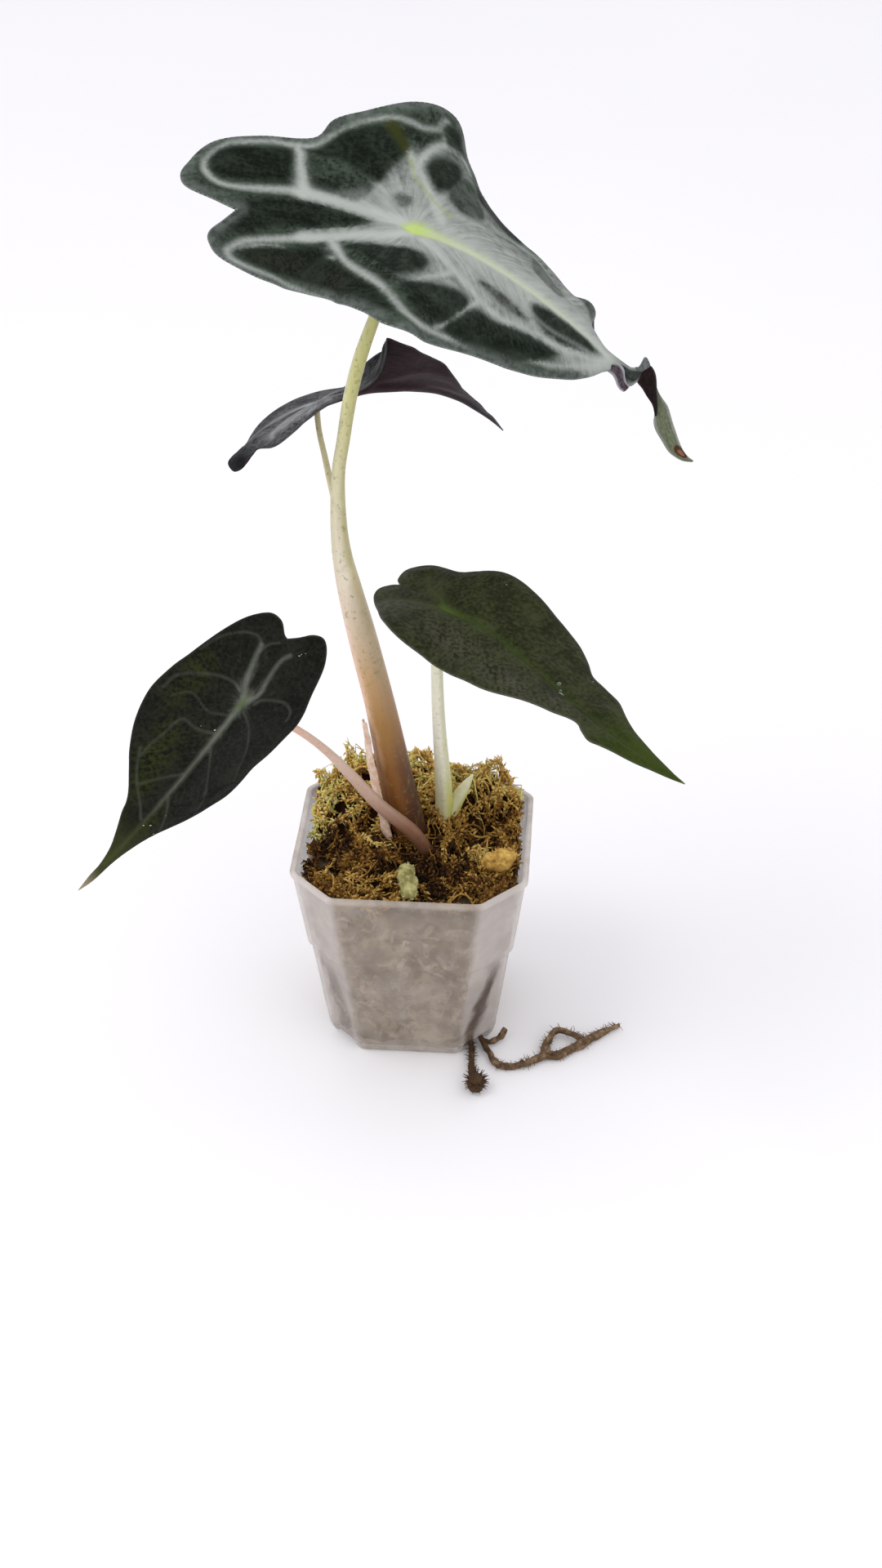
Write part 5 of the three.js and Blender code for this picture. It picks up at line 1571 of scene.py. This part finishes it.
def scatter(chance, count, room):
    """Places spread evenly over the moss"""
    made = []
    half = RIM_WIDTH / 2
    while len(made) < count:
        x, y = chance.uniform(-half, half), chance.uniform(-half, half)
        if inside_pot(x, y, room) > 0:
            made.append((x, y))
    return made


def rope(build, route, core, leaf_length, leaf_width, tint, chance):
    """A moss branch: a thin core under small pointed leaves that overlap along it"""
    fine = through(route, 4)
    lengths = np.concatenate([[0], np.cumsum(np.linalg.norm(np.diff(fine, axis=0), axis=1))])
    build.tube(fine, core * np.linspace(0.9, 0.4, len(fine)), 5, tint=max(0, tint - 0.1))
    ahead, across, third = frames(fine)
    count = int(lengths[-1] / leaf_length * 5)
    starts, heads, ups, sizes, tints = [], [], [], [], []
    for i in range(count):
        at = lengths[-1] * (i + 0.5) / count
        near = min(int(np.searchsorted(lengths, at)), len(fine) - 1)
        angle = i * LEAF_TURN + chance.uniform(-0.4, 0.4)
        out = across[near] * math.cos(angle) + third[near] * math.sin(angle)
        share = at / lengths[-1]
        starts.append(fine[near] + out * core * 0.5)
        heads.append(unit(ahead[near] * 0.85 + out * chance.uniform(0.35, 0.75)))
        ups.append(out)
        sizes.append(leaf_length * chance.uniform(0.75, 1.2) * (1 - 0.35 * share))
        tints.append(min(1, max(0, tint + chance.uniform(-0.1, 0.1))))
    sizes = np.array(sizes)
    leaflets(build, starts, heads, ups, sizes, sizes * leaf_width, 0, tint=tints)


def moss_body(material):
    """Uneven core of the moss under its strands"""
    build = Build()
    inset = WALL + MOSS_ROOM
    rings = [pot_ring(level, inset) for level in (FLOOR + 0.6, 3, 5, *range(8, 45, 4))]
    for share in (1, 0.96, 0.9, 0.82, 0.74, 0.66, 0.58, 0.5, 0.42, 0.34, 0.26, 0.18, 0.1, 0.04):
        ring = pot_ring(POT_HEIGHT - 4, inset)
        ring[:, :2] *= share
        ring[:, 2] = moss_height(ring[:, 0], ring[:, 1]) - (3 if share == 1 else 1.4)
        rings.append(ring)
    count = len(rings[0])
    points = np.vstack(rings)
    lumps = noise_at(points, 0.35, 2) * 0.9 + noise_at(points, 0.9, 4) * 0.5
    outward = unit(points - np.array([0, 0, 26]))
    points = points + outward * (lumps - 0.5)[:, None]
    faces = ring_faces(len(rings), count, capped=False)
    faces.append(list(range(count))[::-1])
    faces.append(list(range((len(rings) - 1) * count, len(rings) * count)))
    build.add(points, faces, 0, tint=[moss_tint(x, y) for x, y in points[:, :2]])
    fit_moss(build.object("moss_core", [material]))


def fit_moss(made):
    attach(made, "root")
    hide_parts("moss")


def tufts(build, chance):
    """Short branches that stand up from the paler moss"""
    for x, y in scatter(chance, 60, 3.5):
        if moss_tint(x, y) < 0.15:
            continue
        foot = float(moss_height(x, y)) - 1.5
        lean = chance.uniform(0, 2 * math.pi)
        tall = chance.uniform(2.2, 4.6) * (1.25 if y > 10 else 0.8)
        out = tall * chance.uniform(0.2, 0.7)
        route = [[x + part * out * math.cos(lean), y + part * out * math.sin(lean), foot + rise * tall]
                 for part, rise in ((0, 0), (0.3, 0.6), (1, 1))]
        if inside_pot(route[-1][0], route[-1][1], 1.2) < 0:
            continue
        tint = moss_tint(x, y) + chance.uniform(0, 0.2)
        rope(build, route, 0.5, chance.uniform(1.7, 2.4), 0.55, tint, chance)


def moss_branches(material):
    """Leafy branches that lie over each other, and tufts that stand up"""
    chance = random.Random(31)
    build = Build()
    for x, y in scatter(chance, 260, 1.2):
        tint = moss_tint(x, y) + chance.uniform(-0.1, 0.16)
        lift = chance.uniform(0.2, 2.4) * (1.4 if y > 8 else 1)
        route = wander(chance, x, y, chance.uniform(6, 13), lift, 1.6)
        rope(build, route, chance.uniform(0.35, 0.6), chance.uniform(1.6, 2.4), 0.6, tint, chance)
    tufts(build, chance)
    fit_moss(build.object("moss_branches", [material]))


def top_fibres(build, chance):
    """Bare fibres with side twigs over the top of the moss"""
    for x, y in scatter(chance, 300, 0.8):
        radius = chance.uniform(0.16, 0.42)
        lift = chance.uniform(0.2, 2.4) * (1.5 if y > 8 else 1)
        route = wander(chance, x, y, chance.uniform(4, 12), lift)
        tint = min(1, max(0, moss_tint(x, y) + chance.uniform(-0.15, 0.25)))
        build.tube(route, radius * np.linspace(1, 0.35, len(route)), 5, tint=tint)
        for _ in range(chance.randint(2, 6)):
            start = route[chance.randint(1, 7)]
            turn = chance.uniform(0, 2 * math.pi)
            tilt = chance.uniform(-0.1, 0.9)
            end = start + chance.uniform(0.8, 2.2) * direction(turn, tilt)
            if inside_pot(end[0], end[1], 0.4) < 0:
                continue
            middle = (start + end) / 2 + np.array([0, 0, 0.2])
            build.tube([start, middle, end], [radius * 0.7, radius * 0.6, 0.05], 4, tint=min(1, tint + 0.1))


def reach_of_wall(turn, room, height):
    """How far the pot's inner wall lies from the middle in one direction, less the room left beside it"""
    x, y, _ = direction(turn)
    low, high = 0, 40
    for _ in range(16):
        middle = (low + high) / 2
        if inside_pot(x * middle, y * middle, room, height) > 0:
            low = middle
        else:
            high = middle
    return low


def wall_strands(build, chance):
    """Strands pressed against the inside of the pot's wall"""
    for _ in range(300):
        turn = chance.uniform(0, 2 * math.pi)
        height = chance.uniform(3, 47)
        slope = chance.uniform(-0.7, 0.7)
        drift = chance.uniform(-0.3, 0.3)
        waves = chance.uniform(0.5, 1.5)
        tint = chance.choice([0.02, 0.06, 0.12, 0.2, 0.3, 0.45, 0.6])
        radius = chance.choice([0.3, 0.45, 0.8, 1.2])
        route = []
        for share in np.arange(STRAND_STEPS + 1) / STRAND_STEPS:
            z = height + slope * 8 * share + waves * math.sin(share * 7 + turn * 9)
            z = min(max(z, 2.5), 49)
            reach = reach_of_wall(turn + drift * share, 0.25 + radius * 0.8, z)
            x, y, _ = direction(turn + drift * share) * reach
            route.append([x, y, z + chance.uniform(-0.3, 0.3)])
        build.tube(route, radius * np.linspace(1, 0.5, len(route)), 6, 1, tint=tint)


def moss_fibres(material, wall_material):
    chance = random.Random(11)
    build = Build()
    top_fibres(build, chance)
    wall_strands(build, chance)
    fit_moss(build.object("moss_fibres", [material, wall_material]))


def moss_body_material():
    g = Graph("moss_body")
    place = g.place()
    patch = g.noise(130, place, 3, 0.55)
    fibre = g.noise(900, place, 4, 0.6, 2.0)
    stops = [
        (0.34, 50, 32, 18), (0.46, 104, 80, 56), (0.53, 140, 120, 94), (0.6, 206, 190, 160),
        (0.72, 232, 222, 198),
    ]
    color = g.ramp(patch, stops)
    color = g.mix(g.fade(fibre, 0.45, 0.7, 0, 0.4), color, (120, 96, 62))
    # painted shade: the top of the core, seen in the gaps under the branches, is near black
    height = g.axis(place, 2)
    top = g.fade(height, (MOSS_LEVEL - 5) * MM, (MOSS_LEVEL - 1) * MM)
    color = g.mix(top, color, g.mix(fibre, (18, 10, 4), (70, 44, 18)))
    return g.finish(color, 0.95, g.bump(fibre, 0.8, 0.0008), {"Specular IOR Level": 0.15})


def strand_material():
    g = Graph("moss_strand")
    place = g.place()
    fine = g.noise(1200, place, 3)
    tint = g.add(g.attribute("tint"), g.around(g.noise(300, place, 3), 0.3))
    color = g.ramp(tint, TINTS)
    color = g.mix(g.fade(fine, 0.4, 0.75, 0, 0.4), color, g.mix(1.0, color, (0.5, 0.42, 0.3, 1), "MULTIPLY"))
    return g.finish(color, 0.85, g.bump(fine, 0.6, 0.0003), {"Specular IOR Level": 0.2})


# Roots and loose pieces: rows are x, y, z, radius
SHORT_ROOT = [
    [20.9, -16.5, 27, 0.6], [19.6, -16.1, 17, 0.9], [18, -15.8, 9, 0.95], [15.8, -15.6, 4.2, 0.85],
    [15.7, -17.4, 1.7, 0.7], [16.1, -20.5, 1.25, 0.75], [16.5, -27, 1.1, 0.85], [17.6, -32.6, 1.8, 0.9],
]
CLUMP_PLACE = (17.9, -33.4, 2.05)
CLUMP_SIZE = (2.2, 3, 1.95)
TRAILING_ROOT = [
    [15.4, -12, 7, 0.8], [16.6, -13.6, 3.4, 0.7], [18.4, -16.4, 1.6, 0.7], [20.4, -20.4, 1.2, 0.8],
    [22.4, -24.2, 1.05, 0.9], [25.2, -25.6, 1, 0.85], [28.6, -24.8, 1, 0.8], [31.8, -23.2, 1.05, 0.9],
    [35.2, -20.8, 1.2, 1.1], [38.6, -20.6, 1.2, 1.1], [42, -17.8, 1.2, 1.1], [45.5, -14.8, 1.2, 1.1],
    [49, -11.4, 1.1, 0.9], [54, -7.4, 0.8, 0.6],
]
TRAILING_BRANCHES = [
    [
        [34.6, -20.8, 1.1, 0.9], [35.4, -16.4, 1.4, 0.9], [37.6, -11.6, 1.6, 0.8], [41.6, -12.4, 1.5, 0.8],
        [45.6, -14.6, 1.3, 0.8],
    ],
    [[18.4, -16.4, 1.6, 0.7], [21, -16.8, 1.3, 0.7], [23.4, -14.8, 1.9, 0.8], [24.4, -13, 2.6, 0.8]],
]
RHIZOME = [
    [1.5, 5, 22, 2.5], [1.2, 4.8, 25, 5.2], [1.5, 4.5, 31, 6.4], [1.8, 4.6, 36, 5.8], [1.8, 3.8, 40.5, 6.8],
    [2, 3.6, 45.7, 6.2],
]
YELLOW_CHUNK = [[17.5, -9.5, 53.2, 1.2], [20, -9, 53.8, 2.4], [23, -8, 54, 2.6], [25.4, -6.4, 53.8, 1.4]]
PALE_SPRIG = [
    [-0.6, -17.5, 56.8, 1.1], [-0.6, -20.5, 57.6, 2.2], [0.2, -23.8, 56.6, 2.4], [0.6, -26.4, 54.8, 1.6],
]
CATAPHYLL = [
    [-5.4, 1.4, 46, 0.8], [-7.8, 0, 58, 0.85], [-9.3, -1.7, 68, 0.95], [-10.7, -1.7, 78, 0.85],
    [-11.9, -1.4, 89, 0.4],
]


def lumpy_tube(build, rows, sides, steps, roughness, seed):
    """Tube whose thickness varies along and around it"""
    rows = through(rows, steps)
    radii = np.repeat(rows[:, 3][:, None], sides, axis=1)
    around = [(1.7 * math.cos(angle), 1.7 * math.sin(angle)) for angle in turns(sides)]
    grid = [[ring * 0.45, y, z] for ring in range(len(rows)) for y, z in around]
    bumps = noise_at(grid, 0.6, seed).reshape(radii.shape)
    build.tube(rows[:, :3], radii * (1 + roughness * bumps), sides)


def hairs(build, rows, count, length, chance):
    """Fine hairs that stand off a root and stay above the surface that it lies on"""
    rows = through(rows, 8)
    for _ in range(count):
        start = rows[chance.randint(2, len(rows) - 2)][:3]
        turn = chance.uniform(0, 2 * math.pi)
        tilt = chance.uniform(-0.3, 0.9)
        end = start + chance.uniform(0.5, 1) * length * direction(turn, tilt)
        middle = (start + end) / 2 + np.array([chance.uniform(-0.3, 0.3), chance.uniform(-0.3, 0.3), 0.2])
        end[2] = max(end[2], HAIR_FLOOR)
        middle[2] = max(middle[2], HAIR_FLOOR)
        build.tube([start, middle, end], [0.13, 0.09, 0.04], 4)


def clump(build, chance):
    """Lump of roots and soil at the end of the short root, with hairs on it"""
    bands, sides = 14, 20
    points = []
    for polar in np.arange(1, bands) / bands * math.pi:
        points += [direction(turn, math.pi / 2 - polar) for turn in turns(sides)]
    points = np.array(points + [[0, 0, 1], [0, 0, -1]])
    lump = 1 + 0.22 * noise_at(points, 1.8, 6) + 0.1 * noise_at(points, 4, 7)
    shape = points * lump[:, None] * CLUMP_SIZE
    shape[:, 2] = np.maximum(shape[:, 2], -CLUMP_PLACE[2] + 0.1)
    build.add(shape + CLUMP_PLACE, turned(ring_faces(bands - 1, sides)))
    hairs(build, SHORT_ROOT[4:], 120, 2.2, chance)
    for _ in range(110):
        turn = chance.uniform(0, 2 * math.pi)
        out = np.array([math.cos(turn), math.sin(turn), chance.uniform(-0.2, 0.9)])
        start = np.array(CLUMP_PLACE) + out * CLUMP_SIZE * 0.8
        end = start + unit(out) * chance.uniform(0.6, 2)
        end[2] = max(end[2], HAIR_FLOOR)
        start[2] = max(start[2], 0.2)
        build.tube([start, (start + end) / 2 + [0, 0, 0.15], end], [0.16, 0.12, 0.05], 4)


def root_short(material):
    build = Build()
    lumpy_tube(build, SHORT_ROOT, 12, 8, 0.3, 1)
    clump(build, random.Random(5))
    made = build.object("root_short_rough", [material])
    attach(made, "root")
    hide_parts("root_short")


def root_trailing(material):
    chance = random.Random(8)
    build = Build()
    lumpy_tube(build, TRAILING_ROOT, 12, 8, 0.5, 2)
    for branch in TRAILING_BRANCHES:
        lumpy_tube(build, branch, 12, 8, 0.5, 3)
    hairs(build, TRAILING_ROOT[4:], 280, 2.6, chance)
    hairs(build, TRAILING_BRANCHES[0], 110, 2.4, chance)
    made = build.object("root_trailing_rough", [material])
    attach(made, "root")
    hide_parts("root_trailing")


def root_material():
    g = Graph("root_bark")
    place = g.place()
    patch = g.noise(500, place, 4, 0.6)
    fine = g.noise(2400, place, 3)
    color = g.ramp(patch, [(0.3, 70, 52, 38), (0.5, 118, 94, 70), (0.7, 166, 142, 112)])
    color = g.mix(g.fade(fine, 0.4, 0.7, 0, 0.5), color, (82, 64, 46))
    # the short root and its clump are the darkest
    wide = g.axis(place, 0)
    near = g.fade(wide, (SHORT_ROOT_SIDE + 0.5) * MM, (SHORT_ROOT_SIDE - 0.5) * MM, 0, 0.8)
    color = g.mix(near, color, g.mix(fine, (34, 20, 12), (82, 56, 34)))
    return g.finish(color, 0.85, g.bump(fine, 0.8, 0.0003), {"Specular IOR Level": 0.2})


def rhizome(material):
    build = Build()
    lumpy_tube(build, RHIZOME, 20, 8, 0.12, 9)
    made = build.object("rhizome_rough", [material])
    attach(made, "root")
    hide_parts("rhizome")


def loose(name, node, rows, material, seed):
    """A torn scrap of moss: a lumpy body with short strands on it"""
    chance = random.Random(seed)
    build = Build()
    lumpy_tube(build, rows, 14, 6, 0.5, seed)
    body = through(rows, 6)
    for _ in range(70):
        row = body[chance.randint(1, len(body) - 2)]
        turn, tilt = chance.uniform(0, 2 * math.pi), chance.uniform(-0.2, 1.2)
        out = direction(turn, tilt)
        start = row[:3] + out * row[3] * 0.7
        side = np.array([-out[1], out[0], 0.2])
        end = start + out * chance.uniform(0.3, 1.3) + side * chance.uniform(-1, 1)
        build.tube([start, (start + end) / 2 + out * 0.2, end], [0.3, 0.22, 0.06], 5)
    made = build.object(name, [material])
    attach(made, "root")
    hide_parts(node)


def scrap_material(name, dark, pale, scale=500):
    g = Graph(name)
    place = g.place()
    patch = g.noise(scale, place, 4, 0.6)
    fine = g.noise(1800, place, 3)
    color = g.mix(g.fade(patch, 0.3, 0.7), dark, pale)
    color = g.mix(g.fade(fine, 0.4, 0.75, 0, 0.5), color, dark)
    return g.finish(color, 0.85, g.bump(fine, 0.6, 0.0003))


def cataphyll(material):
    """Dried scale leaf: a thin curved sheet with a torn edge"""
    rows = through(CATAPHYLL, 10)
    columns = 15
    outward = unit(np.array([-0.9, -0.42, 0]))
    side = unit(np.cross([-7, -0.5, 37.0], outward))
    points = []
    for i, row in enumerate(rows):
        share = i / (len(rows) - 1)
        spread = 2.3 * (row[3] + 0.55) * (1 - 0.45 * share)
        for column in range(columns):
            angle = (column / (columns - 1) - 0.5) * 2.4
            depth = (math.cos(angle) * 0.8 - 0.55) * spread
            points.append(row[:3] + side * math.sin(angle) * spread + outward * depth)
    points = np.array(points)
    points = points + 0.35 * np.column_stack([noise_at(points, 0.3, seed) for seed in (1, 2, 3)])
    build = Build()
    shell(build, points.reshape(len(rows), columns, 3), DRY_LEAF_THICKNESS, 0, 0, flip=True)
    made = build.object("scale_leaf", [material])
    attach(made, "root")
    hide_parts("cataphyll")


# Make everything
def camera():
    azimuth, pitch = math.radians(CAMERA_AZIMUTH), math.radians(CAMERA_PITCH)
    right = Vector((math.cos(azimuth), math.sin(azimuth), 0))
    ahead = Vector(direction(azimuth + math.pi / 2, -pitch))
    up = right.cross(ahead)
    data = bpy.data.cameras.new("camera")
    data.lens = CAMERA_LENS
    data.sensor_fit = "VERTICAL"
    data.sensor_height = CAMERA_SENSOR
    data.clip_end = 50
    made = bpy.data.objects.new("camera", data)
    matrix = Matrix((right, up, -ahead)).transposed().to_4x4()
    matrix.translation = Vector(CAMERA_PLACE) * MM
    made.matrix_world = matrix
    bpy.context.scene.collection.objects.link(made)
    bpy.context.scene.camera = made


def area_light(name, place, target, size, power):
    data = bpy.data.lights.new(name, "AREA")
    data.shape = "DISK"
    data.size = size
    data.energy = power
    made = bpy.data.objects.new(name, data)
    made.location = place
    made.rotation_euler = (Vector(target) - Vector(place)).to_track_quat("-Z", "Y").to_euler()
    bpy.context.scene.collection.objects.link(made)


def stage():
    """Pale floor, soft surroundings and two lights"""
    g = Graph("floor")
    tone = g.noise(3, g.place(), 2)
    color = g.mix(tone, (246, 245, 249), (252, 251, 253))
    material = g.finish(color, 0.6, None, {"Specular IOR Level": 0.1})
    build = Build()
    line = np.linspace(-FLOOR_REACH, FLOOR_REACH, 9)
    build.add([[x, y, 0] for y in line for x in line], turned(grid_faces(len(line), len(line))))
    floor = build.object("floor", [material], False)
    world = bpy.data.worlds.new("studio")
    world.use_nodes = True
    background = world.node_tree.nodes["Background"]
    background.inputs["Color"].default_value = (0.985, 0.98, 1.0, 1)
    background.inputs["Strength"].default_value = 0.96
    bpy.context.scene.world = world
    bpy.context.scene.view_settings.view_transform = "Standard"
    target = (0, 0, 0.12)
    area_light("key", (-0.5, -0.2, 0.9), target, 0.5, 2.2)
    area_light("fill", (0.7, -0.7, 0.6), target, 0.7, 0.8)


camera()
stage()

fleck, drop = fleck_material(), drop_material()
for name in LEAVES:
    sheets = [tail_sheet(*sheet) for sheet in TAIL_SHEETS] if name == "top" else []
    leaf(name, [leaf_upper(name), leaf_under(name), fleck, drop] + sheets)

# the sheath's left stops are a painted highlight, its right stops painted shade with a dark streak near the
# foot
stem("top", stem_material("stem_sheath", SHEATH, SHEATH_LEFT_HIGHLIGHT, SHEATH_RIGHT_SHADE_AND_STREAK, 48, 210, (128, 124, 74)), 48)
stem("back", stem_material("stem_pale", PALE, PALE, PALE, 138, 166, (120, 118, 70)))
stem("left", stem_material("stem_pink", PINK, PINK, PINK, 48, 129, (160, 118, 104), 0.3))
stem("right", stem_material("stem_lime", LIME, LIME, LIME_SIDE, 48, 130, (140, 142, 96), 0.3))

pot(pot_material())
moss_body(moss_body_material())
strands = strand_material()
moss_branches(strands)
moss_fibres(strands, scrap_material("wall_moss", (86, 62, 42), (226, 210, 182), 120))
roots = root_material()
root_short(roots)
root_trailing(roots)
rhizome(scrap_material("rhizome_skin", (60, 38, 24), (110, 78, 52)))
yellow = scrap_material("yellow_moss", (158, 110, 34), (226, 190, 100))
loose("yellow_scrap", "moss_chunk", YELLOW_CHUNK, yellow, 21)
pale = scrap_material("pale_moss", (118, 110, 58), (196, 192, 128))
loose("pale_scrap", "moss_sprig", PALE_SPRIG, pale, 22)
cataphyll(scrap_material("dry_scale", (206, 168, 142), (234, 214, 196)))
